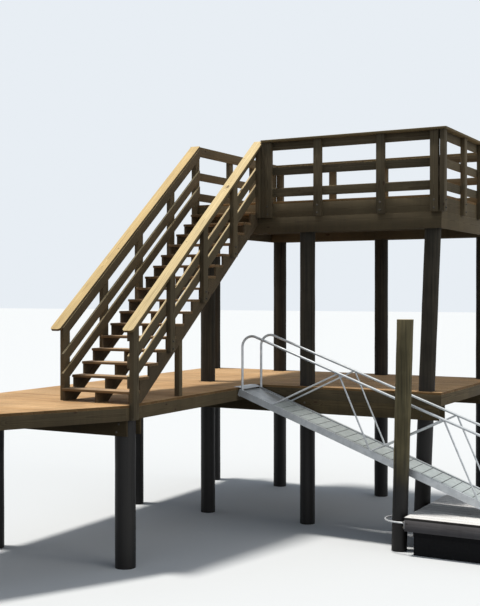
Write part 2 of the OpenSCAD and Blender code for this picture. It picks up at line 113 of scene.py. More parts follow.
@dataclass(frozen=True)
class Sizes:
    """Sizes of the jetty in metres, in the frame's coordinates, shared by its sub-assemblies."""

    low_z: float = 2.390
    high_z: float = 5.590
    guard_height: float = 1.070
    plank: float = 0.038
    post: float = 0.090
    post_thick: float = 0.076
    post_wide: float = 0.140
    rail: float = 0.140
    joist: float = 0.184
    beam: float = 0.235
    high_rim: float = 0.240
    cap_over: float = 0.020
    front: float = -0.1633
    back: float = 3.1033
    left: float = -1.770
    end: float = 4.450
    high_left: float = -0.1633
    stair_left: float = -0.1053
    stair_right: float = 1.1147
    corner_y: float = -4.200
    bend_near: Pair = (-0.1540, -6.5870)
    bend_far: Pair = (-1.7700, -5.7270)
    walk_angle: float = math.radians(28.0)
    walk_width: float = 1.830
    walk_length: float = 4.880
    walk_bay: float = 2.440
    tall_radius: float = 0.125
    short_radius: float = 0.152
    guide_radius: float = 0.120
    pile_full: float = 0.006
    seat: float = 0.0003
    front_piles: tuple[float, ...] = (0.0, 2.005, 4.060)
    back_piles: tuple[float, ...] = (0.0, 2.230, 4.260)
    back_row: float = 2.940
    pile_lean: float = 0.0390
    left_pile_x: float = -1.575
    left_pile_top: float = 5.100
    corner_pile: Pair = (0.9244, -3.940)
    guide_piles: tuple[Pair, ...] = ((4.120, -1.0703), (9.294, -1.0703))
    guide_top: float = 3.590
    guide_shift: float = -0.045
    guide_lean: float = 0.026
    guide_taper: float = 0.075

    @property
    def low_under(self) -> float:
        """Underside of the low deck's boards."""
        return self.low_z - self.plank

    @property
    def low_rim_base(self) -> float:
        """Underside of the low deck's joists and rims."""
        return self.low_under - self.joist

    @property
    def bearer_base(self) -> float:
        """Underside of the low deck's bearers."""
        return self.low_rim_base - self.beam

    @property
    def high_under(self) -> float:
        """Underside of the high deck's boards."""
        return self.high_z - self.plank

    @property
    def high_rim_base(self) -> float:
        """Underside of the high deck's rim."""
        return self.high_under - self.high_rim

    @property
    def cap_z(self) -> float:
        """Top of the guards' caps."""
        return self.high_z + self.guard_height

    @property
    def cap_under(self) -> float:
        """Underside of the guards' caps."""
        return self.cap_z - self.plank

    @property
    def cap_out(self) -> float:
        """Reach of a cap beyond the face that its posts are bolted to."""
        return self.post + self.cap_over

    @property
    def cap_in(self) -> float:
        """Reach of a cap inside the face that its posts are bolted to."""
        return self.rail - self.cap_out

    def front_at(self, z: float) -> tuple[float, ...]:
        """X of the front row's piles at a height; the last one leans."""
        return (*self.front_piles[:-1], self.front_piles[-1] + self.pile_lean * z)

    @property
    def walk_along(self) -> Vector:
        """Unit vector from the low deck out along the approach walkway."""
        return Vector((-math.sin(self.walk_angle), -math.cos(self.walk_angle), 0.0))

    @property
    def walk_place(self) -> Matrix:
        """Matrix from the walkway's own axes to the frame."""
        at = Vector((*self.bend_far, 0.0)) + self.walk_along * 0.0005
        return Matrix.Translation(at) @ Matrix.Rotation(-QUARTER - self.walk_angle, 4, "Z")


S = Sizes()


# ---- modelling by hand ----


def clear_selection() -> None:
    """Leave edit mode with nothing selected."""
    if bpy.context.object and bpy.context.object.mode != "OBJECT":
        to_mode("OBJECT")
    bpy.ops.object.select_all(action="DESELECT")


def to_mode(mode: str) -> None:
    """Put the active object in EDIT or OBJECT mode."""
    bpy.ops.object.mode_set(mode=mode)


def take(obj: Thing) -> None:
    """Make an object the only selected one, and the active one."""
    clear_selection()
    obj.select_set(True)
    bpy.context.view_layer.objects.active = obj


def open_blank(name: str) -> Thing:
    """Start an empty mesh object and leave it open in edit mode.

    Args:
        name: Name of the new object.

    Returns:
        The new object, active and in edit mode.
    """
    clear_selection()
    bpy.ops.object.add(type="MESH", location=(0, 0, 0))
    obj = bpy.context.object
    obj.name = obj.data.name = name
    to_mode("EDIT")
    return obj


def apply_modifiers(obj: Thing) -> None:
    """Apply each modifier of an object in turn."""
    take(obj)
    for modifier in list(obj.modifiers):
        bpy.ops.object.modifier_apply(modifier=modifier.name)


def ease_edges(obj: Thing, width: float, segments: int = 2, angle: float = 40.0) -> None:
    """Round the sharp edges of a mesh a little, as sawn and handled timber is.

    Args:
        obj: The object to change.
        width: Width of the rounding in metres.
        segments: Faces across the rounding.
        angle: Edges that turn by more than this many degrees are rounded.
    """
    take(obj)
    bevel = obj.modifiers.new("eased", "BEVEL")
    bevel.width, bevel.segments = width, segments
    bevel.limit_method, bevel.angle_limit = "ANGLE", math.radians(angle)
    apply_modifiers(obj)
    bpy.ops.object.shade_smooth_by_angle(angle=SMOOTH)


def put(obj: Thing, place: Matrix) -> Thing:
    """Move an object's mesh by a matrix and leave the object itself at the origin."""
    take(obj)
    obj.matrix_world = place
    bpy.ops.object.transform_apply(location=True, rotation=True, scale=True)
    return obj


def join(objs: Sequence[Thing], name: str) -> Thing:
    """Join objects into the first one and name it."""
    take(objs[0])
    for obj in objs[1:]:
        obj.select_set(True)
    bpy.ops.object.join()
    objs[0].name = objs[0].data.name = name
    return objs[0]


def copies(source: Thing, places: Iterable[Matrix], name: str) -> Thing:
    """Repeat a modelled piece at many places, as one mesh of its own.

    Args:
        source: The piece, modelled round the origin; it is deleted afterwards.
        places: One matrix for each copy.
        name: Name of the new object.

    Returns:
        The object that holds all the copies.
    """
    mesh = source.data
    points = np.empty(len(mesh.vertices) * 3)
    mesh.vertices.foreach_get("co", points)
    points = points.reshape(-1, 3)
    faces = [tuple(p.vertices) for p in mesh.polygons]
    all_points: list[np.ndarray] = []
    all_faces: list[tuple[int, ...]] = []
    for i, place in enumerate(places):
        turn = np.array(place.to_3x3())
        all_points.append(points @ turn.T + np.array(place.translation))
        all_faces.extend(tuple(v + i * len(points) for v in face) for face in faces)
    made = bpy.data.meshes.new(name)
    made.from_pydata(np.vstack(all_points).tolist(), [], all_faces)
    obj = bpy.data.objects.new(name, made)
    bpy.context.scene.collection.objects.link(obj)
    bpy.data.objects.remove(source)
    take(obj)
    bpy.ops.object.shade_smooth_by_angle(angle=SMOOTH)
    return obj


@dataclass(frozen=True)
class Cut:
    """A saw cut: what lies on the side that its normal points to is removed."""

    at: Triple
    off: Triple


@dataclass(frozen=True)
class Board:
    """A straight board: its centre, its length, width and thickness, how it lies and its saw cuts."""

    centre: Triple
    size: Triple
    lie: Lie | Triple = Lie.FLAT_X
    cuts: tuple[Cut, ...] = ()

    def saw(self) -> None:
        """Add the board to the mesh that is open in edit mode, and make its cuts."""
        turn = self.lie.value if isinstance(self.lie, Lie) else self.lie
        bpy.ops.mesh.primitive_cube_add(size=1, location=self.centre, rotation=turn, scale=self.size)
        for cut in self.cuts:
            bpy.ops.mesh.select_linked()
            bpy.ops.mesh.bisect(plane_co=cut.at, plane_no=cut.off, use_fill=True, clear_outer=True)


def lay_boards(name: str, boards: Iterable[Board]) -> Thing:
    """Model a set of boards in one mesh, with sharp edges.

    Args:
        name: Name of the new object.
        boards: The boards.

    Returns:
        The new object, in object mode.
    """
    obj = open_blank(name)
    for board in boards:
        board.saw()
    to_mode("OBJECT")
    return obj


def between(low: float, high: float, width: float = 0.140, gap: float = 0.005) -> list[Pair]:
    """Spread boards evenly over a distance.

    Args:
        low: Where the first board starts.
        high: Where the last board ends.
        width: Width that the boards should be near.
        gap: Gap between two boards.

    Returns:
        The centre and the width of each board.
    """
    count = max(1, round((high - low + gap) / (width + gap)))
    pitch = (high - low + gap) / count
    return [(low + pitch * i + (pitch - gap) / 2, pitch - gap) for i in range(count)]


def sawn_copy(node: str, name: str) -> Thing:
    """Copy a CAD node as a mesh of its own, with its triangles merged to flat faces."""
    obj = bpy.data.objects.new(name, frame["nodes"][node].data.copy())
    bpy.context.scene.collection.objects.link(obj)
    take(obj)
    bpy.ops.mesh.customdata_custom_splitnormals_clear()
    to_mode("EDIT")
    bpy.ops.mesh.select_all(action="SELECT")
    bpy.ops.mesh.remove_doubles(threshold=0.00002)
    bpy.ops.mesh.dissolve_limited(angle_limit=math.radians(1))
    bpy.ops.mesh.normals_make_consistent(inside=False)
    to_mode("OBJECT")
    return obj


def round_chosen(obj: Thing, choose: Callable[[Vector, Vector], bool], radius: float) -> None:
    """Round the edges that a test picks by their two ends.

    Args:
        obj: The object to change.
        choose: Test of an edge's two end points.
        radius: Radius of the rounding in metres.
    """
    take(obj)
    to_mode("EDIT")
    bpy.ops.mesh.select_mode(type="EDGE")
    bpy.ops.mesh.select_all(action="DESELECT")
    to_mode("OBJECT")
    points = obj.data.vertices
    for edge in obj.data.edges:
        edge.select = choose(points[edge.vertices[0]].co, points[edge.vertices[1]].co)
    to_mode("EDIT")
    bpy.ops.mesh.bevel(offset=radius, segments=6, affect="EDGES")
    bpy.ops.mesh.select_mode(type="VERT")
    to_mode("OBJECT")


def loose_parts(mesh: bpy.types.Mesh) -> tuple[np.ndarray, np.ndarray]:
    """Find which loose part each vertex belongs to.

    Args:
        mesh: The mesh to read.

    Returns:
        The lowest vertex number of each vertex's part, and the edges' vertex numbers.
    """
    ends = np.empty(len(mesh.edges) * 2, np.int32)
    mesh.edges.foreach_get("vertices", ends)
    ends = ends.reshape(-1, 2)
    label = np.arange(len(mesh.vertices))
    while True:
        low = np.minimum(label[ends[:, 0]], label[ends[:, 1]])
        new = label.copy()
        np.minimum.at(new, ends[:, 0], low)
        np.minimum.at(new, ends[:, 1], low)
        new = new[new]
        if (new == label).all():
            return label, ends
        label = new


def mark_grain(obj: Thing, seed: int, along: Triple | None = None) -> None:
    """Give each board its own grain coordinates, its own tone and a mark on its sawn ends.

    The timber finishes read the attributes: grain is the place in the board, with x along its
    length and a random offset, tone is a random number for each board, and end is 1 on end grain.

    Args:
        obj: The boards.
        seed: Seed of the random offsets and tones.
        along: Direction of every board's length, where their longest edges don't give it.
    """
    rng = np.random.default_rng(seed)
    mesh = obj.data
    points = np.empty(len(mesh.vertices) * 3)
    mesh.vertices.foreach_get("co", points)
    points = points.reshape(-1, 3)
    label, ends = loose_parts(mesh)
    spans = points[ends[:, 1]] - points[ends[:, 0]]
    lengths = np.linalg.norm(spans, axis=1)
    grain = np.zeros((len(points), 3))
    tone = np.zeros(len(points))
    axes = np.zeros((len(points), 3))
    for part in np.unique(label):
        mine = label == part
        edges = label[ends[:, 0]] == part
        span, length = spans[edges], lengths[edges]
        x = np.array(along) if along else span[length.argmax()] / length.max()
        square = np.abs(span @ x) < 0.03 * length
        y = np.cross(x, (0.0, 0.0, 1.0)) if abs(x[2]) < PLUMB else np.array((0.0, 1.0, 0.0))
        if square.any():
            widest = np.where(square, length, 0).argmax()
            y = span[widest]
        y = y / np.linalg.norm(y)
        turn = np.stack([x, y, np.cross(x, y)])
        middle = (points[mine].min(0) + points[mine].max(0)) / 2
        pith = (rng.uniform(0, 60), rng.uniform(-0.05, 0.05), rng.choice((-1, 1)) * rng.uniform(0.015, 0.11))
        grain[mine] = (points[mine] - middle) @ turn.T + pith
        tone[mine] = rng.random()
        axes[mine] = x
    first = [p.vertices[0] for p in mesh.polygons]
    normals = np.empty(len(mesh.polygons) * 3)
    mesh.polygons.foreach_get("normal", normals)
    sawn = np.abs((normals.reshape(-1, 3) * axes[first]).sum(1)) > 0.6
    mesh.attributes.new("grain", "FLOAT_VECTOR", "POINT").data.foreach_set("vector", grain.ravel())
    mesh.attributes.new("tone", "FLOAT", "POINT").data.foreach_set("value", tone)
    mesh.attributes.new("end", "FLOAT", "FACE").data.foreach_set("value", sawn.astype(float))


# ---- finishes ----

Value = Socket | float | tuple[float, ...]


def paint(red: int, green: int, blue: int) -> tuple[float, float, float, float]:
    """Turn a screen colour, 0 to 255, into the linear colour that a node takes."""
    parts = [c / 255 for c in (red, green, blue)]
    linear = [c / 12.92 if c < 0.04045 else ((c + 0.055) / 1.055) ** 2.4 for c in parts]
    return (linear[0], linear[1], linear[2], 1.0)


@dataclass
class Sheet:
    """A node tree being drawn: adds nodes and joins their sockets."""

    tree: bpy.types.NodeTree

    def add(self, kind: str, **settings: object) -> Node:
        """Add a node and set its properties."""
        node = self.tree.nodes.new(kind)
        for name, value in settings.items():
            setattr(node, name, value)
        return node

    def feed(self, socket: Socket, value: Value) -> None:
        """Link a socket to another one, or give it a plain value."""
        if isinstance(value, Socket):
            self.tree.links.new(value, socket)
        else:
            socket.default_value = value

    def math(self, operation: str, *values: Value, clamp: bool = False) -> Socket:
        """Add a Math node."""
        node = self.add("ShaderNodeMath", operation=operation, use_clamp=clamp)
        for socket, value in zip(node.inputs, values):
            self.feed(socket, value)
        return node.outputs[0]

    def vector(self, operation: str, *values: Value) -> Socket:
        """Add a Vector Math node and return its vector."""
        node = self.add("ShaderNodeVectorMath", operation=operation)
        for socket, value in zip(node.inputs, values):
            self.feed(socket, value)
        return node.outputs["Vector"]

    def ramp(self, value: Value, low: float, high: float, to: Pair = (0.0, 1.0)) -> Socket:
        """Map a value smoothly from low..high to another range, and hold it at the ends."""
        node = self.add("ShaderNodeMapRange", interpolation_type="SMOOTHSTEP")
        for name, number in zip(("Value", "From Min", "From Max", "To Min", "To Max"), (value, low, high, *to)):
            self.feed(node.inputs[name], number)
        return node.outputs["Result"]

    def noise(self, place: Value, scale: float, detail: float = 2.0, rough: float = 0.5) -> Socket:
        """Add a Noise texture and return its value."""
        node = self.add("ShaderNodeTexNoise")
        for name, value in (("Vector", place), ("Scale", scale), ("Detail", detail), ("Roughness", rough)):
            self.feed(node.inputs[name], value)
        return node.outputs["Fac"]

    def mix(self, factor: Value, a: Value, b: Value, kind: str = "MIX") -> Socket:
        """Mix two colours."""
        node = self.add("ShaderNodeMix", data_type="RGBA", blend_type=kind)
        self.feed(node.inputs[0], factor)
        self.feed(node.inputs[6], a)
        self.feed(node.inputs[7], b)
        return node.outputs[2]

    def shade(self, colour: Value, value: Value) -> Socket:
        """Multiply a colour by a value."""
        node = self.add("ShaderNodeVectorMath", operation="SCALE")
        self.feed(node.inputs[0], colour)
        self.feed(node.inputs["Scale"], value)
        return node.outputs["Vector"]

    def attribute(self, name: str) -> Node:
        """Read an attribute of the piece's mesh."""
        return self.add("ShaderNodeAttribute", attribute_type="GEOMETRY", attribute_name=name)

    def place(self) -> Socket:
        """Read Object coordinates."""
        return self.add("ShaderNodeTexCoord").outputs["Object"]

    def split(self, vector: Value) -> bpy.types.NodeOutputs:
        """Split a vector into X, Y and Z."""
        node = self.add("ShaderNodeSeparateXYZ")
        self.feed(node.inputs[0], vector)
        return node.outputs

    def bump(self, height: Value, strength: float, distance: float) -> Socket:
        """Turn a height into a normal."""
        node = self.add("ShaderNodeBump")
        node.inputs["Strength"].default_value = strength
        node.inputs["Distance"].default_value = distance
        self.feed(node.inputs["Height"], height)
        return node.outputs["Normal"]

    def group(self, tree: bpy.types.NodeTree, **values: Value) -> bpy.types.NodeOutputs:
        """Place a node group; underscores in the names of its inputs stand for spaces."""
        node = self.add("ShaderNodeGroup", node_tree=tree)
        for name, value in values.items():
            self.feed(node.inputs[name.replace("_", " ")], value)
        return node.outputs


class Effects:
    """The effects that several finishes share, each a node group that is built once."""

    @staticmethod
    def start(
        name: str, inputs: dict[str, object], outputs: Sequence[str],
    ) -> tuple[Sheet, Node, Node]:
        """Start a node group with its sockets.

        Args:
            name: Name of the group.
            inputs: Default value of each input; a tuple of three makes a vector.
            outputs: Names of the outputs; one that ends in Colour is a colour.

        Returns:
            The sheet to draw on, the group's input node and its output node.
        """
        tree = bpy.data.node_groups.new(name, "ShaderNodeTree")
        for label, default in inputs.items():
            kind = "NodeSocketVector" if isinstance(default, tuple) else "NodeSocketFloat"
            tree.interface.new_socket(name=label, in_out="INPUT", socket_type=kind).default_value = default
        for label in outputs:
            kind = "NodeSocketColor" if label.endswith("Colour") else "NodeSocketFloat"
            tree.interface.new_socket(name=label, in_out="OUTPUT", socket_type=kind)
        sheet = Sheet(tree)
        return sheet, sheet.add("NodeGroupInput"), sheet.add("NodeGroupOutput")

    @cached_property
    def figure(self) -> bpy.types.NodeTree:
        """Growth rings, fibre and knots of sawn pine, in a board's grain coordinates."""
        inputs = {"Grain": (0.0, 0.0, 0.0), "Ring Gap": 0.008, "Knots": 0.5}
        sheet, given, out = self.start("timber figure", inputs, ("Late", "Fibre", "Knot", "Broad", "Height"))
        grain = given.outputs["Grain"]
        cells = sheet.add("ShaderNodeTexVoronoi")
        sheet.feed(cells.inputs["Vector"], sheet.vector("MULTIPLY", grain, (2.6, 6.0, 6.0)))
        cells.inputs["Scale"].default_value = 1.0
        luck = sheet.split(cells.outputs["Color"])
        present = sheet.math("LESS_THAN", luck[0], given.outputs["Knots"])
        reach = sheet.math("MULTIPLY_ADD", luck[1], 0.10, 0.05)
        away = sheet.math("DIVIDE", cells.outputs["Distance"], reach)
        knot = sheet.math("MULTIPLY", present, sheet.ramp(away, 0.7, 1.05, (1.0, 0.0)))
        swirl = sheet.math("MULTIPLY", present, sheet.ramp(away, 0.6, 3.2, (1.0, 0.0)))
        drift = sheet.noise(sheet.vector("MULTIPLY", grain, (0.55, 4.0, 4.0)), 1.0, 2.0)
        parts = sheet.split(grain)
        radius = sheet.math("SQRT", sheet.math("ADD", sheet.math("POWER", sheet.math("ABSOLUTE", parts[1]), 2.0),
                                               sheet.math("POWER", sheet.math("ABSOLUTE", parts[2]), 2.0)))
        radius = sheet.math("MULTIPLY_ADD", drift, 0.045, radius)
        radius = sheet.math("MULTIPLY_ADD", swirl, 0.016, radius)
        turn = sheet.math("FRACT", sheet.math("DIVIDE", radius, given.outputs["Ring Gap"]))
        late = sheet.math("MULTIPLY", sheet.ramp(turn, 0.35, 0.85), sheet.ramp(turn, 0.93, 1.0, (1.0, 0.0)))
        fibre = sheet.noise(sheet.vector("MULTIPLY", grain, (5.0, 160.0, 160.0)), 1.0, 3.0, 0.6)
        broad = sheet.noise(sheet.vector("MULTIPLY", grain, (0.8, 9.0, 9.0)), 1.0, 3.0, 0.55)
        split = sheet.noise(sheet.vector("MULTIPLY", grain, (1.1, 46.0, 46.0)), 1.0, 2.0, 0.4)
        check = sheet.ramp(split, 0.30, 0.36, (1.0, 0.0))
        height = sheet.math("MULTIPLY_ADD", fibre, 0.35, sheet.math("MULTIPLY", late, 0.35))
        height = sheet.math("SUBTRACT", height, sheet.math("MULTIPLY", check, 0.9))
        for label, value in (("Late", late), ("Fibre", fibre), ("Knot", knot), ("Broad", broad), ("Height", height)):
            sheet.feed(out.inputs[label], value)
        return sheet.tree

    @cached_property
    def weather(self) -> bpy.types.NodeTree:
        """A mask of upward faces, which the timber finishes use for painted light on tops, and weather blotches in
        Object coordinates.
        """
        sheet, given, out = self.start("weather", {"Blotch Scale": 1.3}, ("Upward", "Blotch", "Grime"))
        up = sheet.split(sheet.add("ShaderNodeNewGeometry").outputs["Normal"])[2]
        place = sheet.place()
        blotch = sheet.add("ShaderNodeTexNoise")
        for label, value in (("Vector", place), ("Scale", given.outputs["Blotch Scale"]), ("Detail", 4.0)):
            sheet.feed(blotch.inputs[label], value)
        runs = sheet.noise(sheet.vector("MULTIPLY", place, (22.0, 22.0, 1.6)), 1.0, 3.0, 0.6)
        sheet.feed(out.inputs["Upward"], sheet.ramp(up, 0.25, 0.7))
        sheet.feed(out.inputs["Blotch"], sheet.ramp(blotch.outputs["Fac"], 0.3, 0.7))
        sheet.feed(out.inputs["Grime"], sheet.ramp(runs, 0.42, 0.75))
        return sheet.tree

    @cached_property
    def metal(self) -> bpy.types.NodeTree:
        """Mottle, fine scratches and a drawn texture for bare metal, in Object coordinates."""
        sheet, given, out = self.start("bare metal", {"Draw": (1.0, 60.0, 60.0)}, ("Mottle", "Scratch", "Height"))
        place = sheet.place()
        mottle = sheet.noise(place, 9.0, 5.0, 0.6)
        drawn = sheet.noise(sheet.vector("MULTIPLY", place, given.outputs["Draw"]), 3.0, 3.0, 0.6)
        nick = sheet.noise(sheet.vector("MULTIPLY", place, (240.0, 18.0, 90.0)), 1.0, 1.0, 0.4)
        sheet.feed(out.inputs["Mottle"], sheet.ramp(mottle, 0.3, 0.7))
        sheet.feed(out.inputs["Scratch"], sheet.ramp(nick, 0.66, 0.72))
        sheet.feed(out.inputs["Height"], sheet.math("MULTIPLY_ADD", drawn, 0.6, sheet.math("MULTIPLY", mottle, 0.3)))
        return sheet.tree


EFFECTS = Effects()
MADE_MATERIALS: dict[str, bpy.types.Material] = {}


def open_material(name: str) -> tuple[bpy.types.Material, Sheet, Node]:
    """Start a material and return it with its sheet and its shader."""
    material = bpy.data.materials.new(name)
    material.use_nodes = True
    MADE_MATERIALS[name] = material
    return material, Sheet(material.node_tree), material.node_tree.nodes["Principled BSDF"]


class Finish:
    """A procedural material that is built when it is first asked for."""

    name: str

    def compose(self, sheet: Sheet, shader: Node) -> None:
        """Draw the material's nodes."""
        raise NotImplementedError

    def material(self) -> bpy.types.Material:
        """Build the material, or return the one that is already built."""
        if self.name not in MADE_MATERIALS:
            _, sheet, shader = open_material(self.name)
            self.compose(sheet, shader)
        return MADE_MATERIALS[self.name]


@dataclass(frozen=True)
class TimberFinish(Finish):
    """Sawn pine: a side colour that is painted shade and a top colour that is painted light, its rings, knots and wear.
    """

    name: str
    side: tuple[float, ...] = paint(118, 105, 80)
    side_far: tuple[float, ...] = paint(94, 84, 64)
    top: tuple[float, ...] = paint(246, 226, 180)
    top_far: tuple[float, ...] = paint(230, 200, 146)
    sap: tuple[float, ...] = paint(120, 76, 40)
    knot: tuple[float, ...] = paint(62, 40, 24)
    rings: float = 0.45
    knots: float = 0.5
    grime: float = 0.25
    ring_gap: float = 0.008
    roughness: float = 0.82

    def compose(self, sheet: Sheet, shader: Node) -> None:
        """Draw the material's nodes."""
        grain = sheet.attribute("grain").outputs["Vector"]
        tone = sheet.attribute("tone").outputs["Fac"]
        sawn = sheet.attribute("end").outputs["Fac"]
        figure = sheet.group(EFFECTS.figure, Grain=grain, Ring_Gap=self.ring_gap, Knots=self.knots)
        weather = sheet.group(EFFECTS.weather)
        toned = sheet.math("MULTIPLY_ADD", tone, 0.9, -0.3)
        variety = sheet.math("MULTIPLY_ADD", figure["Broad"], 0.6, toned, clamp=True)
        side = sheet.mix(variety, self.side, self.side_far)
        top = sheet.mix(variety, self.top, self.top_far)
        # Painted light and shade: upward faces take the light top colour, the other faces the dark side colour.
        colour = sheet.mix(weather["Upward"], side, top)
        ring = sheet.math("MULTIPLY", figure["Late"], self.rings)
        colour = sheet.mix(ring, colour, sheet.mix(1.0, colour, self.sap, "MULTIPLY"))
        light = sheet.ramp(figure["Fibre"], 0.2, 0.8, (0.86, 1.12))
        colour = sheet.shade(colour, light)
        colour = sheet.mix(sheet.math("MULTIPLY", figure["Knot"], 0.8), colour, self.knot)
        colour = sheet.mix(sheet.math("MULTIPLY", sawn, 0.35), colour, sheet.shade(colour, 0.55))
        # Grime: blotches, and runs that gather less on upward faces, darken the colour.
        grime_and_painted_shade = sheet.math("MULTIPLY", weather["Blotch"], self.grime)
        streaks = sheet.math("MULTIPLY_ADD", weather["Upward"], -0.3, 0.3)
        streaks = sheet.math("MULTIPLY", weather["Grime"], streaks)
        grime_and_painted_shade = sheet.math("MULTIPLY_ADD", streaks, self.grime, grime_and_painted_shade, clamp=True)
        colour = sheet.shade(colour, sheet.math("SUBTRACT", 1.0, grime_and_painted_shade))
        sheet.feed(shader.inputs["Base Color"], colour)
        rough = sheet.ramp(figure["Fibre"], 0.0, 1.0, (self.roughness - 0.08, self.roughness + 0.08))
        sheet.feed(shader.inputs["Roughness"], rough)
        sheet.feed(shader.inputs["Normal"], sheet.bump(figure["Height"], 0.5, 0.0016))
        shader.inputs["Specular IOR Level"].default_value = 0.3


@dataclass(frozen=True)
class PileFinish(Finish):
    """Round piles: barkless timber with long checks, a dark wet foot and a pale sawn top, its paleness partly painted
    light.
    """

    name: str
    dry: tuple[float, ...] = paint(68, 62, 52)
    dry_far: tuple[float, ...] = paint(46, 43, 37)
    wet: tuple[float, ...] = paint(20, 18, 17)
    sawn: tuple[float, ...] = paint(190, 176, 148)
    tide: Pair = (1.9, 2.9)

    def compose(self, sheet: Sheet, shader: Node) -> None:
        """Draw the material's nodes."""
        place = sheet.place()
        weather = sheet.group(EFFECTS.weather, Blotch_Scale=2.4)
        long_grain = sheet.noise(sheet.vector("MULTIPLY", place, (34.0, 34.0, 0.9)), 1.0, 4.0, 0.6)
        checks = sheet.noise(sheet.vector("MULTIPLY", place, (17.0, 17.0, 0.35)), 1.0, 2.0, 0.4)
        checks = sheet.ramp(checks, 0.315, 0.345, (1.0, 0.0))
        colour = sheet.mix(sheet.ramp(long_grain, 0.3, 0.7), self.dry_far, self.dry)
        colour = sheet.shade(colour, sheet.ramp(weather["Blotch"], 0.0, 1.0, (1.08, 0.8)))
        height = sheet.split(place)[2]
        wander = sheet.noise(sheet.vector("MULTIPLY", place, (3.0, 3.0, 1.2)), 1.0, 4.0, 0.6)
        level = sheet.math("MULTIPLY_ADD", wander, -1.1, sheet.math("ADD", height, 0.55))
        colour = sheet.mix(sheet.ramp(level, *self.tide, (1.0, 0.0)), colour, self.wet)
        # The checks are drawn darker: dirt in the cracks, and painted shade inside them.
        colour = sheet.shade(colour, sheet.ramp(checks, 0.0, 1.0, (1.0, 0.45)))
        # Upward faces take the pale sawn colour: the cut end's own wood, brightened as painted light.
        colour = sheet.mix(weather["Upward"], colour, self.sawn)
        sheet.feed(shader.inputs["Base Color"], colour)
        sheet.feed(shader.inputs["Roughness"], sheet.ramp(level, *self.tide, (0.55, 0.9)))
        rise = sheet.math("SUBTRACT", long_grain, checks)
        sheet.feed(shader.inputs["Normal"], sheet.bump(rise, 0.6, 0.004))
        shader.inputs["Specular IOR Level"].default_value = 0.3


@dataclass(frozen=True)
class MetalFinish(Finish):
    """Bare metal, drawn or galvanised, dulled by weather."""

    name: str
    bright: tuple[float, ...] = paint(214, 217, 219)
    dull: tuple[float, ...] = paint(194, 198, 201)
    roughness: Pair = (0.36, 0.48)
    draw: Triple = (1.0, 60.0, 60.0)
    metallic: float = 0.45

    def compose(self, sheet: Sheet, shader: Node) -> None:
        """Draw the material's nodes."""
        metal = sheet.group(EFFECTS.metal, Draw=self.draw)
        weather = sheet.group(EFFECTS.weather, Blotch_Scale=3.0)
        colour = sheet.mix(metal["Mottle"], self.bright, self.dull)
        colour = sheet.shade(colour, sheet.ramp(weather["Blotch"], 0.0, 1.0, (1.0, 0.94)))
        colour = sheet.mix(sheet.math("MULTIPLY", metal["Scratch"], 0.3), colour, self.bright)
        sheet.feed(shader.inputs["Base Color"], colour)
        sheet.feed(shader.inputs["Roughness"], sheet.ramp(metal["Mottle"], 0.0, 1.0, self.roughness))
        sheet.feed(shader.inputs["Normal"], sheet.bump(metal["Height"], 0.12, 0.001))
        shader.inputs["Metallic"].default_value = self.metallic


@dataclass(frozen=True)
class MouldedFinish(Finish):
    """Moulded rubber or plastic: dark, slightly pebbled and dusty on top."""

    name: str
    body: tuple[float, ...] = paint(26, 26, 29)
    dust: tuple[float, ...] = paint(70, 68, 64)
    roughness: Pair = (0.5, 0.7)
    pebble: float = 220.0
    specular: float = 0.3

    def compose(self, sheet: Sheet, shader: Node) -> None:
        """Draw the material's nodes."""
        place = sheet.place()
        weather = sheet.group(EFFECTS.weather, Blotch_Scale=4.0)
        dusty = sheet.math("MULTIPLY", weather["Upward"], sheet.math("MULTIPLY_ADD", weather["Blotch"], 0.5, 0.2))
        scuffed = sheet.math("MULTIPLY", weather["Grime"], 0.18)
        worn = sheet.math("ADD", dusty, scuffed, clamp=True)
        sheet.feed(shader.inputs["Base Color"], sheet.mix(worn, self.body, self.dust))
        pebble = sheet.noise(place, self.pebble, 2.0, 0.5)
        sheet.feed(shader.inputs["Roughness"], sheet.ramp(pebble, 0.2, 0.8, self.roughness))
        sheet.feed(shader.inputs["Normal"], sheet.bump(pebble, 0.25, 0.0006))
        shader.inputs["Specular IOR Level"].default_value = self.specular


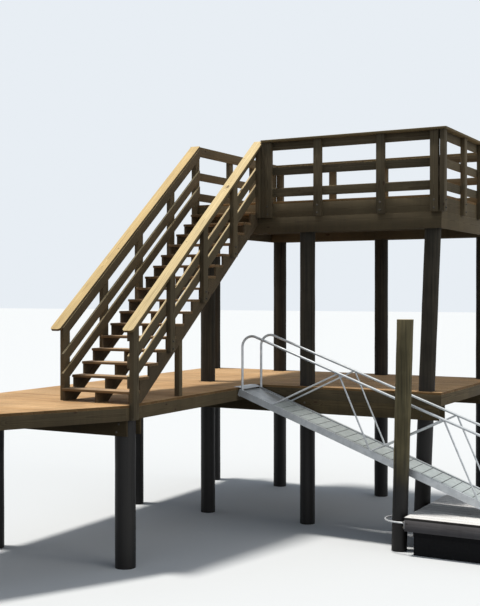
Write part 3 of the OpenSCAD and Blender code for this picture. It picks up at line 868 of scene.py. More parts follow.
@dataclass(frozen=True)
class Finishes:
    """Every finish of the jetty."""

    # In each timber finish the side colours are painted shade and the top colours painted light.
    rails: TimberFinish = TimberFinish("weathered rail timber")
    caps: TimberFinish = TimberFinish(
        "sunlit cap timber", side=paint(132, 114, 78), top=paint(244, 220, 168), top_far=paint(232, 200, 140),
        rings=0.3, knots=0.62, grime=0.12)
    rims: TimberFinish = TimberFinish(
        "rim timber", side=paint(116, 102, 76), side_far=paint(94, 82, 60), rings=0.35, grime=0.3)
    stringers: TimberFinish = TimberFinish(
        "knotty stringer timber", side=paint(130, 113, 86), side_far=paint(88, 76, 56), knot=paint(48, 32, 20),
        rings=0.7, knots=0.85, grime=0.35)
    deck: TimberFinish = TimberFinish(
        "deck timber", side=paint(150, 118, 76), side_far=paint(122, 92, 56), top=paint(226, 186, 138),
        top_far=paint(204, 160, 110), rings=0.3, knots=0.35, grime=0.2)
    treads: TimberFinish = TimberFinish(
        "tread timber", side=paint(150, 122, 88), side_far=paint(124, 98, 66), top=paint(222, 192, 158),
        top_far=paint(204, 170, 132), rings=0.3, knots=0.35)
    framing: TimberFinish = TimberFinish(
        "rough framing timber", side=paint(104, 90, 62), side_far=paint(80, 68, 46), top=paint(140, 118, 80),
        top_far=paint(120, 98, 64), grime=0.35, roughness=0.88)
    # The float deck's dark side colour is painted shade on the boards' edges.
    float_deck: TimberFinish = TimberFinish(
        "bleached deck timber", side=paint(70, 66, 62), side_far=paint(56, 52, 50), top=paint(252, 250, 248),
        top_far=paint(242, 240, 237), sap=paint(206, 202, 198), knot=paint(168, 160, 150), rings=0.2, grime=0.05)
    skirt: TimberFinish = TimberFinish(
        "grey skirt timber", side=paint(132, 128, 128), side_far=paint(108, 104, 104), top=paint(168, 165, 160),
        top_far=paint(140, 137, 133), sap=paint(140, 132, 126), knot=paint(70, 64, 58), rings=0.35)
    piles: PileFinish = PileFinish("round pile timber")
    guides: PileFinish = PileFinish(
        "guide pile timber", dry=paint(122, 112, 82), dry_far=paint(82, 76, 56), tide=(0.9, 1.9))
    alloy: MetalFinish = MetalFinish("mill aluminium")
    tread_metal: MetalFinish = MetalFinish(
        "ribbed aluminium", bright=paint(206, 212, 211), dull=paint(190, 197, 196), roughness=(0.5, 0.62),
        draw=(60.0, 1.0, 60.0), metallic=0.3)
    # A dark finish for the pan under the gangway's grooves: painted shade in the grooves, partly their dirt.
    grime_and_painted_shade: MetalFinish = MetalFinish(
        "soiled metal", bright=paint(54, 54, 56), dull=paint(40, 40, 42), roughness=(0.7, 0.85), metallic=0.0)
    galvanised: MetalFinish = MetalFinish(
        "galvanised steel", bright=paint(226, 227, 228), dull=paint(190, 193, 196), roughness=(0.42, 0.6),
        draw=(30.0, 30.0, 30.0))
    hardware: MetalFinish = MetalFinish(
        "weathered bolt steel", bright=paint(96, 90, 80), dull=paint(66, 60, 52), roughness=(0.5, 0.7),
        draw=(30.0, 30.0, 30.0))
    rubber: MouldedFinish = MouldedFinish("roller rubber")
    drums: MouldedFinish = MouldedFinish(
        "moulded drum", body=paint(9, 9, 12), dust=paint(34, 33, 32), roughness=(0.6, 0.75), pebble=140.0,
        specular=0.15)


F = Finishes()


def dress(
    obj: Thing, finish: Finish, body: Body = Body.JETTY, replaces: Sequence[str] = (),
) -> None:
    """Give a finished piece its material and its body, and report it.

    Args:
        obj: The piece.
        finish: The finish that it gets.
        body: The body that it rides on.
        replaces: The CAD nodes that it stands for.
    """
    obj.data.materials.clear()
    obj.data.materials.append(finish.material())
    if replaces:
        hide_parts(*replaces)
    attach(obj, body.value)
    LOG.info("%s: %d faces on %s", obj.name, len(obj.data.polygons), body.value)


def dress_timber(
    obj: Thing, finish: Finish, seed: int, body: Body = Body.JETTY,
    replaces: Sequence[str] = (), along: Triple | None = None, ease: float = 0.003,
) -> None:
    """Ease the edges of a piece's boards, mark their grain and dress the piece.

    Args:
        obj: The piece.
        finish: The finish that it gets.
        seed: Seed of its boards' grain and tones.
        body: The body that it rides on.
        replaces: The CAD nodes that it stands for.
        along: Direction of every board's length, where their longest edges don't give it.
        ease: Width of the rounding of its edges.
    """
    ease_edges(obj, ease)
    mark_grain(obj, seed, along)
    dress(obj, finish, body, replaces)


def dress_node(node: str, finish: Finish) -> None:
    """Give a CAD node that stays in view its material."""
    obj = frame["nodes"][node]
    obj.data.materials.clear()
    obj.data.materials.append(finish.material())
    LOG.info("%s: stays, with %s", node, finish.name)


# ---- fasteners ----


def facing(at: Triple | Vector, normal: Triple | Vector) -> Matrix:
    """Matrix that stands a fastener at a point with its head along a normal."""
    return Matrix.Translation(Vector(at)) @ Vector(normal).to_track_quat("Z", "Y").to_matrix().to_4x4()


@dataclass
class Fasteners:
    """Bolts and screws: their places are gathered by the sub-assemblies and modelled at the end."""

    bolts: dict[Body, list[Matrix]] = field(default_factory=lambda: {b: [] for b in Body})
    screws: list[Matrix] = field(default_factory=list)
    washer_radius: float = 0.019
    nut_radius: float = 0.0135
    stud_radius: float = 0.007
    screw_radius: float = 0.0048

    def bolt(self, at: Triple | Vector, normal: Triple | Vector, body: Body = Body.JETTY) -> None:
        """Note the place of a nut and washer on a face."""
        self.bolts[body].append(facing(at, normal))

    def bolt_pair(self, at: Triple, normal: Triple, step: Triple) -> None:
        """Note two bolts, one on each side of a point, with their heads along a normal."""
        for sign in (-1, 1):
            self.bolt(Vector(at) + Vector(step) * sign, normal)

    def screw_pair(self, at: Triple, step: Triple = (0.0, 0.035, 0.0), place: Matrix | None = None) -> None:
        """Note two deck screws, one on each side of a point.

        Args:
            at: The point.
            step: Way from the point to one of the screws.
            place: Matrix from the axes of both to the frame, where they aren't the frame's own.
        """
        for sign in (-1, 1):
            spot = Vector(at) + Vector(step) * sign
            self.screws.append(facing(spot if place is None else place @ spot, (0, 0, 1)))

    def model_bolt(self) -> Thing:
        """Model one nut on a washer, with the end of its bolt."""
        obj = open_blank("bolt")
        washer, nut, stud = (20, self.washer_radius), (6, self.nut_radius), (10, self.stud_radius)
        for (sides, radius), low, high in ((washer, -0.001, 0.003), (nut, 0.003, 0.016), (stud, 0.016, 0.024)):
            bpy.ops.mesh.primitive_cylinder_add(
                vertices=sides, radius=radius, depth=high - low, location=(0, 0, (low + high) / 2))
        to_mode("OBJECT")
        ease_edges(obj, 0.0012, segments=1)
        return obj

    def model_screw(self) -> Thing:
        """Model one screw's head, dished at its centre."""
        obj = open_blank("screw")
        bpy.ops.mesh.primitive_circle_add(
            vertices=8, radius=self.screw_radius, fill_type="NGON", location=(0, 0, -0.0004))
        bpy.ops.mesh.extrude_region_move(TRANSFORM_OT_translate={"value": (0, 0, 0.0009)})
        bpy.ops.mesh.inset(thickness=0.0018)
        bpy.ops.mesh.extrude_region_move(TRANSFORM_OT_translate={"value": (0, 0, -0.0006)})
        bpy.ops.mesh.select_all(action="SELECT")
        bpy.ops.mesh.normals_make_consistent(inside=False)
        to_mode("OBJECT")
        return obj

    def build(self) -> None:
        """Model every fastener that was noted."""
        for body, places in self.bolts.items():
            if places:
                dress(copies(self.model_bolt(), places, f"{body.value}_bolts"), F.hardware, body)
        dress(copies(self.model_screw(), self.screws, "deck_screws"), F.hardware)


FIX = Fasteners()


# ---- the jetty ----


@dataclass
class RoundPiles:
    """The round piles: one pile of each size is modelled and copied, each copy turned."""

    ring_step: float = 0.30
    sides: int = 36
    wobble: float = 0.018
    top_round: float = 0.008
    swell_size: float = 0.22
    swell_depth: float = 0.006

    def blank(self, radius: float, top: float, seed: int, taper: float = 0.0) -> Thing:
        """Model one pile round the origin, with the swells and hollows of a grown trunk.

        Args:
            radius: Usual radius of the pile.
            top: Height of its sawn top.
            seed: Seed of its shape.
            taper: Growth of the radius from foot to top, as a share of it.

        Returns:
            The pile.
        """
        rng = np.random.default_rng(seed)
        obj = open_blank("pile")
        bpy.ops.mesh.primitive_circle_add(vertices=self.sides, radius=radius, fill_type="NGON")
        steps = round(top / self.ring_step)
        size = 1.0
        for i in range(steps):
            bpy.ops.mesh.extrude_region_move(TRANSFORM_OT_translate={"value": (0, 0, top / steps)})
            wanted = (1.0 + taper * (i + 1) / steps) * (1.0 + self.wobble * (rng.random() - 0.5))
            k = wanted / size
            size = wanted
            bpy.ops.transform.resize(value=(k, k, 1), center_override=(0, 0, top * (i + 1) / steps))
        bpy.ops.mesh.bevel(offset=self.top_round, segments=2, affect="EDGES")
        to_mode("OBJECT")
        clouds = bpy.data.textures.new(f"trunk {seed}", "CLOUDS")
        clouds.noise_scale = self.swell_size
        swell = obj.modifiers.new("swell", "DISPLACE")
        swell.texture, swell.strength, swell.mid_level = clouds, self.swell_depth, 0.5
        apply_modifiers(obj)
        for vertex in obj.data.vertices:
            vertex.co.z = min(max(vertex.co.z, 0.0), top)
        return obj

    def stand(
        self, node: str, blank: Thing, places: Sequence[Pair], seed: int, finish: PileFinish,
        leans: Sequence[float] = (),
    ) -> None:
        """Stand copies of one pile at their places.

        Args:
            node: The CAD node that they stand for.
            blank: The pile, modelled round the origin.
            places: X and Y of each pile's foot.
            seed: Seed of their turns.
            finish: Their finish.
            leans: Drift in X of each pile for each metre of height, where they aren't plumb.
        """
        turns = np.random.default_rng(seed).uniform(0, 2 * math.pi, len(places))
        spots = []
        for (x, y), turn, lean in zip(places, turns, leans or (0.0,) * len(places)):
            tilt = Matrix.Identity(4)
            tilt[0][2] = lean
            spots.append(Matrix.Translation((x, y, 0)) @ tilt @ Matrix.Rotation(turn, 4, "Z"))
        dress(copies(blank, spots, f"{node}_timber"), finish, replaces=[node])

    def build(self) -> None:
        """Stand all the piles."""
        radius = S.tall_radius + S.pile_full
        leans = (0.0,) * (len(S.front_piles) - 1) + (S.pile_lean,)
        front = self.blank(radius, S.high_under, 11)
        self.stand("front_tall_piles", front, [(x, 0.0) for x in S.front_piles], 11, F.piles, leans)
        back = self.blank(radius, S.high_under, 12)
        self.stand("back_tall_piles", back, [(x, S.back_row) for x in S.back_piles], 12, F.piles)
        left_x, corner = S.left_pile_x, S.corner_pile
        thick = self.blank(S.short_radius, S.low_under, 13)
        thick = copies(thick, [Matrix.Translation((x, corner[1], 0)) for x in (left_x, corner[0])], "thick")
        thin = copies(self.blank(radius, S.low_under, 14), [Matrix.Translation((left_x, 0.0, 0))], "thin")
        high = self.blank(radius, S.left_pile_top, 17)
        high = copies(high, [Matrix.Translation((left_x, S.back_row, 0))], "high")
        dress(join([thick, thin, high], "short_piles_timber"), F.piles, replaces=["short_piles"])
        inset = S.short_radius + S.seat + S.plank
        spots = []
        for along in (inset, S.walk_bay, S.walk_length - inset):
            for across in (inset, S.walk_width - inset):
                spot = S.walk_place @ Vector((along, across, 0))
                spots.append((spot.x, spot.y))
        self.stand("walkway_piles", self.blank(S.short_radius, S.low_under, 15), spots, 15, F.piles)
        (near_x, near_y), outer = S.guide_piles
        guide = self.blank(S.guide_radius, S.guide_top, 16, S.guide_taper)
        self.stand("guide_piles", guide, [(near_x + S.guide_shift, near_y), outer], 16, F.guides, (S.guide_lean, 0.0))


@dataclass
class SawnFrame:
    """Joists, bearers, bands and rims: copies of the CAD solids with eased edges and grain."""

    bolt_step: Triple = (0.02, 0.0, 0.06)
    parts: tuple[tuple[str, str, Slot], ...] = (
        ("low_bearers", "framing", Slot.FRAMING), ("low_joists", "framing", Slot.FRAMING),
        ("low_rim", "rims", Slot.RAILS), ("walkway_bearers", "framing", Slot.FRAMING),
        ("walkway_joists", "framing", Slot.FRAMING), ("walkway_rim", "rims", Slot.RAILS),
        ("high_band", "rims", Slot.FRAMING), ("high_joists", "framing", Slot.FRAMING), ("high_rim", "rims", Slot.RAILS),
        ("left_stringer", "stringers", Slot.RAILS), ("middle_stringer", "stringers", Slot.RAILS),
        ("right_stringer", "stringers", Slot.RAILS),
        ("stair_prop", "rails", Slot.RAILS),
    )

    def pile_bolts(self) -> None:
        """Note the bolts through the bearers at each pile."""
        low = S.bearer_base + S.beam / 2
        rows = [(x, 0.0, S.tall_radius) for x in (S.left_pile_x, *S.front_at(low))]
        rows += [(x, S.back_row, S.tall_radius) for x in (S.left_pile_x, *S.back_piles)]
        rows += [(S.left_pile_x, S.corner_pile[1], S.short_radius), (*S.corner_pile, S.short_radius)]
        for x, y, radius in rows:
            for side in (-1, 1):
                at = (x, y + side * (radius + S.seat + S.plank), low)
                FIX.bolt_pair(at, (0, side, 0), self.bolt_step)

    def build(self) -> None:
        """Copy and finish every part."""
        for seed, (node, finish, slot) in enumerate(self.parts):
            dress_timber(sawn_copy(node, f"{node}_timber"), getattr(F, finish), 100 + seed, replaces=[node])
        self.pile_bolts()


@dataclass
class Decks:
    """The three decks: planks with gaps between them, cut to the decks' outlines and round the piles."""

    gap: float = 0.005
    notch: float = 0.003
    seam: float = 0.006
    ease: float = 0.0035
    edge_screw: float = 0.030
    left_screws: tuple[float, ...] = (-1.40, -1.0, -0.6, -0.16, 0.16, 0.6, 0.95)
    right_screws: tuple[float, ...] = (1.4, 1.85, 2.4, 2.8, 3.2, 3.6, 3.97, 4.40)
    high_screws: tuple[float, ...] = (0.15, 0.6, 1.0, 1.45, 1.85, 2.4, 2.8, 3.2, 3.6, 3.97, 4.42)

    def finish(self, obj: Thing, node: str, seed: int, along: Triple) -> None:
        """Ease the planks' edges, mark their grain and dress them."""
        dress_timber(obj, F.deck, seed, replaces=[node], along=along, ease=self.ease)

    def notch_piles(self, obj: Thing) -> None:
        """Cut square notches out of the low deck's planks, round the piles that rise through it."""
        side = 2 * (S.tall_radius + S.pile_full + self.notch)
        spots = [(x, 0.0) for x in S.front_at(S.low_z)] + [(x, S.back_row) for x in (S.left_pile_x, *S.back_piles)]
        cutter = lay_boards("notches", [Board((x, y, S.low_z), (side, side, 0.3)) for x, y in spots])
        take(obj)
        notches = obj.modifiers.new("notches", "BOOLEAN")
        notches.operation, notches.object, notches.solver = "DIFFERENCE", cutter, "EXACT"
        apply_modifiers(obj)
        bpy.data.objects.remove(cutter)

    def low(self) -> None:
        """Lay the low deck, whose front corner follows the walkway's direction."""
        z = S.low_z - S.plank / 2
        along = S.walk_along
        slant = Cut((S.stair_right, S.corner_y, z), (-along.y, along.x, 0.0))
        mouth = Cut((*S.bend_far, z), tuple(along))
        boards = []
        for y, width in between(S.bend_near[1], S.back, gap=self.gap):
            cuts = tuple(c for c, limit in ((slant, S.corner_y), (mouth, S.bend_far[1])) if y - width < limit)
            size = (S.stair_right - S.left, width, S.plank)
            boards.append(Board(((S.left + S.stair_right) / 2, y, z), size, cuts=cuts))
            for x in self.left_screws:
                if y > S.corner_y:
                    FIX.screw_pair((x, y, S.low_z))
        right = S.stair_right + self.seam
        for y, width in between(S.front, S.back, gap=self.gap):
            boards.append(Board(((right + S.end) / 2, y, z), (S.end - right, width, S.plank)))
            for x in self.right_screws:
                FIX.screw_pair((x, y, S.low_z))
        obj = lay_boards("low_deck_planks", boards)
        self.notch_piles(obj)
        self.finish(obj, "low_deck", 201, (1.0, 0.0, 0.0))

    def walkway(self) -> None:
        """Lay the approach walkway with planks across it."""
        z = S.low_z - S.plank / 2
        boards = []
        for x, width in between(0.0, S.walk_length, gap=self.gap):
            boards.append(Board((x, S.walk_width / 2, z), (S.walk_width, width, S.plank), Lie.FLAT_Y))
            inner = (S.walk_width * i / 4 for i in (1, 2, 3))
            for y in (self.edge_screw, *inner, S.walk_width - self.edge_screw):
                FIX.screw_pair((x, y, S.low_z), (0.035, 0.0, 0.0), S.walk_place)
        obj = put(lay_boards("walkway_planks", boards), S.walk_place)
        across = S.walk_place.to_3x3() @ Vector((0, 1, 0))
        self.finish(obj, "walkway_deck", 202, tuple(across))

    def high(self) -> None:
        """Lay the lookout's deck."""
        z = S.high_z - S.plank / 2
        boards = []
        for y, width in between(S.front, S.back, gap=self.gap):
            boards.append(Board(((S.high_left + S.end) / 2, y, z), (S.end - S.high_left, width, S.plank)))
            for x in self.high_screws:
                FIX.screw_pair((x, y, S.high_z))
        self.finish(lay_boards("high_deck_planks", boards), "high_deck", 203, (1.0, 0.0, 0.0))

    def build(self) -> None:
        """Lay the three decks."""
        self.low()
        self.walkway()
        self.high()


@dataclass(frozen=True)
class GuardRun:
    """One side of the lookout's guard, in its own axes: X along it, Y inward from the rim's face."""

    node: str
    place: Matrix
    rails: Pair
    cap: Pair
    posts: tuple[float, ...]


@dataclass
class Guards:
    """The guards round the lookout: posts bolted outside the rim, three rails and a flat cap."""

    mid_drop: float = 0.475
    low_drop: float = 0.850
    front_posts: tuple[float, ...] = (1.3435, 2.290, 3.427, 4.349)
    right_posts: tuple[float, ...] = (-0.1833, 0.926, 1.901, 3.0333)
    back_posts: tuple[float, ...] = (-4.380, -3.335, -2.218, -1.102, 0.0933)
    left_posts: tuple[float, ...] = (-3.0333, -2.100, -1.1667, 0.0933)
    bolt_rises: Pair = (0.055, 0.185)

    def runs(self) -> list[GuardRun]:
        """The four sides of the guard."""
        turn = [Matrix.Rotation(a, 4, "Z") for a in (0.0, QUARTER, math.pi, -QUARTER)]
        return [
            GuardRun("front_guard", Matrix.Translation((0, S.front, 0)), (S.stair_right, S.end),
                     (S.stair_right + S.cap_out, S.end + S.cap_out), self.front_posts),
            GuardRun("right_guard", Matrix.Translation((S.end, 0, 0)) @ turn[1], (S.front + S.plank, S.back - S.plank),
                     (S.front + S.cap_in, S.back - S.cap_in), self.right_posts),
            GuardRun("back_guard", Matrix.Translation((0, S.back, 0)) @ turn[2], (-S.end, -S.high_left),
                     (-S.end - S.cap_out, -S.high_left + S.cap_out), self.back_posts),
            GuardRun("left_guard", Matrix.Translation((S.high_left, 0, 0)) @ turn[3], (-S.back + S.plank, -S.front),
                     (-S.back + S.cap_in, -S.front), self.left_posts),
        ]

    def build(self) -> None:
        """Model the four sides, and note their bolts."""
        for seed, run in enumerate(self.runs()):
            rise = S.cap_under - S.high_rim_base
            z = S.high_rim_base + rise / 2
            size = (rise, S.post_thick, S.post_wide)
            boards = [Board((x, -S.post_thick / 2, z), size, Lie.UPRIGHT) for x in run.posts]
            if run.node == "front_guard":
                low, high = S.stair_right + S.post + 0.001, run.posts[0] - S.post_wide / 2 - 0.001
                centre = ((low + high) / 2, -S.post_thick / 2, z)
                boards.append(Board(centre, (rise, S.post_thick, high - low), Lie.UPRIGHT))
            middle, length = sum(run.rails) / 2, run.rails[1] - run.rails[0]
            for top in (S.cap_under, S.cap_z - self.mid_drop, S.cap_z - self.low_drop):
                boards.append(Board((middle, S.plank / 2, top - S.rail / 2), (length, S.rail, S.plank), Lie.EDGE_X))
            obj = put(lay_boards(f"{run.node}_timber", boards), run.place)
            dress_timber(obj, F.rails, 300 + seed, replaces=[run.node])
            centre = (sum(run.cap) / 2, S.rail / 2 - S.cap_out, S.cap_z - S.plank / 2)
            cap = Board(centre, (run.cap[1] - run.cap[0], S.rail, S.plank))
            obj = put(lay_boards(f"{run.node}_cap", [cap]), run.place)
            dress_timber(obj, F.caps, 310 + seed)
            outward = run.place.to_3x3() @ Vector((0, -1, 0))
            for x in run.posts:
                for rise in self.bolt_rises:
                    FIX.bolt(run.place @ Vector((x, -S.post_thick, S.high_rim_base + rise)), outward)


@dataclass
class Stair:
    """The stair's treads and its two slanted handrails."""

    risers: int = 17
    going: float = 0.245
    tread: float = 0.270
    tread_gap: float = 0.005
    stringer: float = 0.286
    rail_height: float = 0.975
    mid_drop: float = 0.440
    low_drop: float = 0.730
    first_post: float = 0.065
    post_every: int = 4
    rail_reach: float = 0.050
    cap_reach: float = 0.137
    cap_width: float = 0.184
    right_shift: float = -0.050
    left_shift: float = 0.015
    foot_rise: float = 0.150
    tread_ease: float = 0.004
    bolt_rises: Pair = (0.055, 0.165)

    @property
    def riser(self) -> float:
        """Height of one step."""
        return (S.high_z - S.low_z) / self.risers

    @property
    def run(self) -> float:
        """Length of the stair in plan."""
        return (self.risers - 1) * self.going

    @property
    def foot_y(self) -> float:
        """Y of the stringers' feet."""
        return S.front - self.run

    @property
    def slope(self) -> float:
        """Rise over run of the handrails."""
        return (S.cap_z - S.low_z - self.riser - self.rail_height) / self.run

    @property
    def angle(self) -> float:
        """Angle of the handrails."""
        return math.atan(self.slope)

    @property
    def slant(self) -> float:
        """Plumb depth of a slanted board for each unit of its width."""
        return 1 / math.cos(self.angle)

    @property
    def posts(self) -> list[float]:
        """Y of the front faces of the posts that stand on the stringers."""
        count = math.floor((self.run - self.first_post - 1.5 * S.post) / (self.post_every * self.going))
        start = self.foot_y + self.first_post - S.post / 2
        return [start + i * self.post_every * self.going for i in range(count + 1)]

    def cap_line(self, y: float) -> float:
        """Height of the handrail cap's top over a place in plan."""
        return S.cap_z - (S.front - y) * self.slope

    def stringer_under(self, y: float) -> float:
        """Height of the stringers' lower edge over a place in plan."""
        drop = self.stringer / math.cos(math.atan(self.riser / self.going))
        return S.low_z + self.riser - S.plank - drop + (y - self.foot_y) * self.riser / self.going

    def lay_treads(self) -> None:
        """Lay two boards on each step and note their screws."""
        boards = []
        width = (self.tread - self.tread_gap) / 2
        length = S.stair_right - S.stair_left
        middle = (S.stair_left + S.stair_right) / 2
        nose = self.tread - self.going
        for i in range(1, self.risers):
            y0 = self.foot_y + (i - 1) * self.going - nose
            top = S.low_z + i * self.riser
            for y in (y0 + width / 2, y0 + self.tread - width / 2):
                boards.append(Board((middle, y, top - S.plank / 2), (length, width, S.plank)))
                for x in (S.stair_left + 0.019, middle, S.stair_right - 0.019):
                    FIX.screw_pair((x, y, top), (0.0, 0.03, 0.0))
        obj = lay_boards("tread_planks", boards)
        along = (1.0, 0.0, 0.0)
        dress_timber(obj, F.treads, 401, replaces=["treads"], along=along, ease=self.tread_ease)

    def slanted(self, x: float, drop: float) -> Board:
        """One slanted rail on edge, cut plumb at both ends.

        Args:
            x: Middle of its thickness.
            drop: Plumb depth from the cap's top to its own top.

        Returns:
            The board.
        """
        low, high = self.posts[0] - self.rail_reach, S.front
        y = (low + high) / 2
        z = self.cap_line(y) - drop - S.rail * self.slant / 2
        c, s = math.cos(self.angle), math.sin(self.angle)
        turn = Matrix(((0, 0, 1), (c, -s, 0), (s, c, 0))).to_euler()
        ends = (Cut((x, low, z), (0.0, -1.0, 0.0)), Cut((x, high, z), (0.0, 1.0, 0.0)))
        return Board((x, y, z), ((high - low) * self.slant + 0.4, S.rail, S.plank), tuple(turn), ends)

    def cap(self, name: str, x: float) -> Thing:
        """Model one slanted cap: rounded corners at its foot and a plumb cut at its head."""
        length = (S.front - self.posts[0] + self.cap_reach) * self.slant
        extra = 0.2
        size = (length + extra, self.cap_width, S.plank)
        obj = lay_boards(name, [Board(((extra - length) / 2, 0, -S.plank / 2), size)])

        def at_foot(a: Vector, b: Vector) -> bool:
            """Whether an edge is one of the two upright ones at the foot."""
            return max(a.x, b.x) < -length / 2 and abs(a.z - b.z) > S.plank / 2

        round_chosen(obj, at_foot, S.rail / 3)
        c, s = math.cos(self.angle), math.sin(self.angle)
        turn = Matrix(((0, -1, 0, x), (c, 0, -s, S.front), (s, 0, c, S.cap_z), (0, 0, 0, 1)))
        put(obj, turn)
        to_mode("EDIT")
        bpy.ops.mesh.select_all(action="SELECT")
        bpy.ops.mesh.bisect(plane_co=(x, S.front, S.cap_z), plane_no=(0, 1, 0), use_fill=True, clear_outer=True)
        to_mode("OBJECT")
        return obj

    def handrail(self, node: str, side: int, seed: int) -> None:
        """Model one handrail.

        Args:
            node: The CAD node that it stands for.
            side: -1 for the left one and 1 for the right one.
            seed: Seed of its grain.
        """
        face = S.stair_left if side < 0 else S.stair_right
        shift = self.left_shift if side < 0 else self.right_shift
        boards = []
        for i, y in enumerate((*self.posts, S.front - S.post)):
            base = self.stringer_under(y) + self.foot_rise
            thick, wide, middle = S.post_thick, S.post_wide, y + shift + S.post_wide / 2
            if i == 0:
                base = S.low_z if side < 0 else S.low_rim_base
            if i == len(self.posts):
                base = S.high_rim_base
                thick, wide, middle = S.post, S.post, y + S.post / 2
            top = self.cap_line(middle + wide)
            post_x = face + side * thick / 2
            under = Cut((post_x, y, self.cap_line(y) - S.plank * self.slant), (0.0, -self.slope, 1.0))
            boards.append(Board((post_x, middle, (base + top) / 2), (top - base, wide, thick), Lie.UPRIGHT, (under,)))
            if 0 < i < len(self.posts):
                for rise in self.bolt_rises:
                    FIX.bolt((face + side * thick, middle, base + rise), (side, 0, 0))
        for drop in (S.plank * self.slant, self.mid_drop, self.low_drop):
            boards.append(self.slanted(face - side * S.plank / 2, drop))
        dress_timber(lay_boards(f"{node}_timber", boards), F.rails, seed, replaces=[node])
        right_edge = face + (S.cap_in if side < 0 else S.cap_out)
        dress_timber(self.cap(f"{node}_cap", right_edge - self.cap_width / 2), F.caps, seed + 5)

    def build(self) -> None:
        """Model the treads and the handrails."""
        self.lay_treads()
        self.handrail("left_stair_rail", -1, 410)
        self.handrail("right_stair_rail", 1, 411)


# ---- the gangway and the float ----


@dataclass
class Gangway:
    """The hinged gangway: ribbed deck, rollers and the fittings of its handrails."""

    near: float = -0.9183
    far: float = -0.1883
    flange: float = 0.045
    side_slack: float = 0.001
    deck_top: float = 0.032
    deck_base: float = 0.020
    head_plate: float = 0.600
    channel_top: float = 0.050
    length: float = 4.700
    rail_foot: float = 0.140
    plank_pitch: float = 0.1745
    groove: float = 0.014
    ribs: int = 9
    roller_radius: float = 0.070
    roller_width: float = 0.040
    roller_x: float = 4.660
    roller_drop: float = 0.038
    roller_inset: float = 0.005
    axle_radius: float = 0.010
    washer_radius: float = 0.026
    washer: float = 0.004

    def hinge(self) -> Vector:
        """Place of the hinge pin, read from the frame's joints."""
        joint = next(j for j in frame["joints"] if j["name"] == "gangway_swing")
        return Vector(joint["pos_m"])

    def place(self) -> Matrix:
        """Matrix from the level gangway's axes to the frame, with its slope read from the frame."""
        corners = [v.co for v in frame["nodes"]["gangway_plate"].data.vertices]
        head, foot = max(corners, key=lambda c: c.z), max(corners, key=lambda c: c.x)
        slope = math.atan2(head.z - foot.z, foot.x - head.x)
        pin = self.hinge()
        return Matrix.Translation((pin.x, 0, pin.z)) @ Matrix.Rotation(slope, 4, "Y")

    def deck_plank(self) -> Thing:
        """Model one ribbed plank of the deck round the origin, with its top at the origin's height."""
        obj = open_blank("gangway_plank")
        width = self.far - self.near - 2 * (self.flange + self.side_slack)
        rise = self.deck_top - self.deck_base
        top_width = self.plank_pitch - self.groove
        bpy.ops.mesh.primitive_cube_add(size=1, location=(0, 0, -rise / 2), scale=(top_width, width, rise - 0.004))
        for i in range(self.ribs):
            x = (i + 0.5) * top_width / self.ribs - top_width / 2
            bpy.ops.mesh.primitive_cube_add(size=1, location=(x, 0, -0.0015), scale=(0.007, width - 0.004, 0.003))
        to_mode("OBJECT")
        return obj

    def deck(self) -> None:
        """Lay the ribbed planks from the smooth head plate to the foot."""
        low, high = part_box("gangway_deck")
        place = self.place()
        start = self.head_plate + 0.0005
        stop = (place.inverted() @ Vector((high.x, 0, low.z))).x
        count = round((stop - start) / self.plank_pitch)
        self.plank_pitch = (stop - start) / count
        middle = (self.near + self.far) / 2
        along = [start + (i + 0.5) * self.plank_pitch for i in range(count)]
        spots = [place @ Matrix.Translation((x, middle, self.deck_top)) for x in along]
        obj = copies(self.deck_plank(), spots, "gangway_deck_planks")
        dress(obj, F.tread_metal, Body.GANGWAY, ["gangway_deck"])
        width = self.far - self.near - 2 * (self.flange + self.side_slack)
        # The dark pan shows through the grooves between the planks: painted shade, partly dirt.
        pan = Board(((start + stop) / 2, middle, self.deck_base + 0.002), (stop - start, width, 0.004))
        dress(put(lay_boards("gangway_deck_pan", [pan]), place), F.grime_and_painted_shade, Body.GANGWAY)

    def rollers(self) -> None:
        """Model the two rollers and their axle."""
        place = self.place()
        obj = open_blank("roller")
        bpy.ops.mesh.primitive_cylinder_add(vertices=48, radius=self.roller_radius, depth=self.roller_width)
        to_mode("OBJECT")
        round_chosen(obj, lambda a, b: abs(a.z - b.z) < 1e-5, 0.006)
        edge = self.flange + self.roller_inset + self.roller_width / 2
        flat = Matrix.Rotation(QUARTER, 4, "X")
        spots = []
        for y in (self.near + edge, self.far - edge):
            spots.append(place @ Matrix.Translation((self.roller_x, y, -self.roller_drop)) @ flat)
        dress(copies(obj, spots, "gangway_rollers"), F.rubber, Body.GANGWAY, ["gangway_feet"])
        obj = open_blank("gangway_axle")
        middle = (self.near + self.far) / 2
        width = self.far - self.near - 0.012
        bpy.ops.mesh.primitive_cylinder_add(vertices=24, radius=self.axle_radius, depth=width)
        for y in (-1, 1):
            for offset in (-0.5, 0.5):
                at = y * (width / 2 - self.flange - self.roller_width / 2) + offset * (self.roller_width + self.washer)
                bpy.ops.mesh.primitive_cylinder_add(
                    vertices=24, radius=self.washer_radius, depth=self.washer, location=(0, 0, at))
        to_mode("OBJECT")
        put(obj, place @ Matrix.Translation((self.roller_x, middle, -self.roller_drop)) @ flat)
        ease_edges(obj, 0.001, segments=1)
        dress(obj, F.galvanised, Body.GANGWAY)

    def weld_beads(self) -> None:
        """Model the weld beads where the handrails' posts meet the channels."""
        place = self.place()
        obj = open_blank("bead")
        bpy.ops.mesh.primitive_torus_add(major_segments=24, minor_segments=8, major_radius=0.0215, minor_radius=0.004)
        to_mode("OBJECT")
        spots = []
        for y in (self.near + self.flange / 2, self.far - self.flange / 2):
            spots.append(place @ Matrix.Translation((self.length - self.rail_foot, y, self.channel_top + 0.001)))
        dress(copies(obj, spots, "handrail_welds"), F.alloy, Body.GANGWAY)

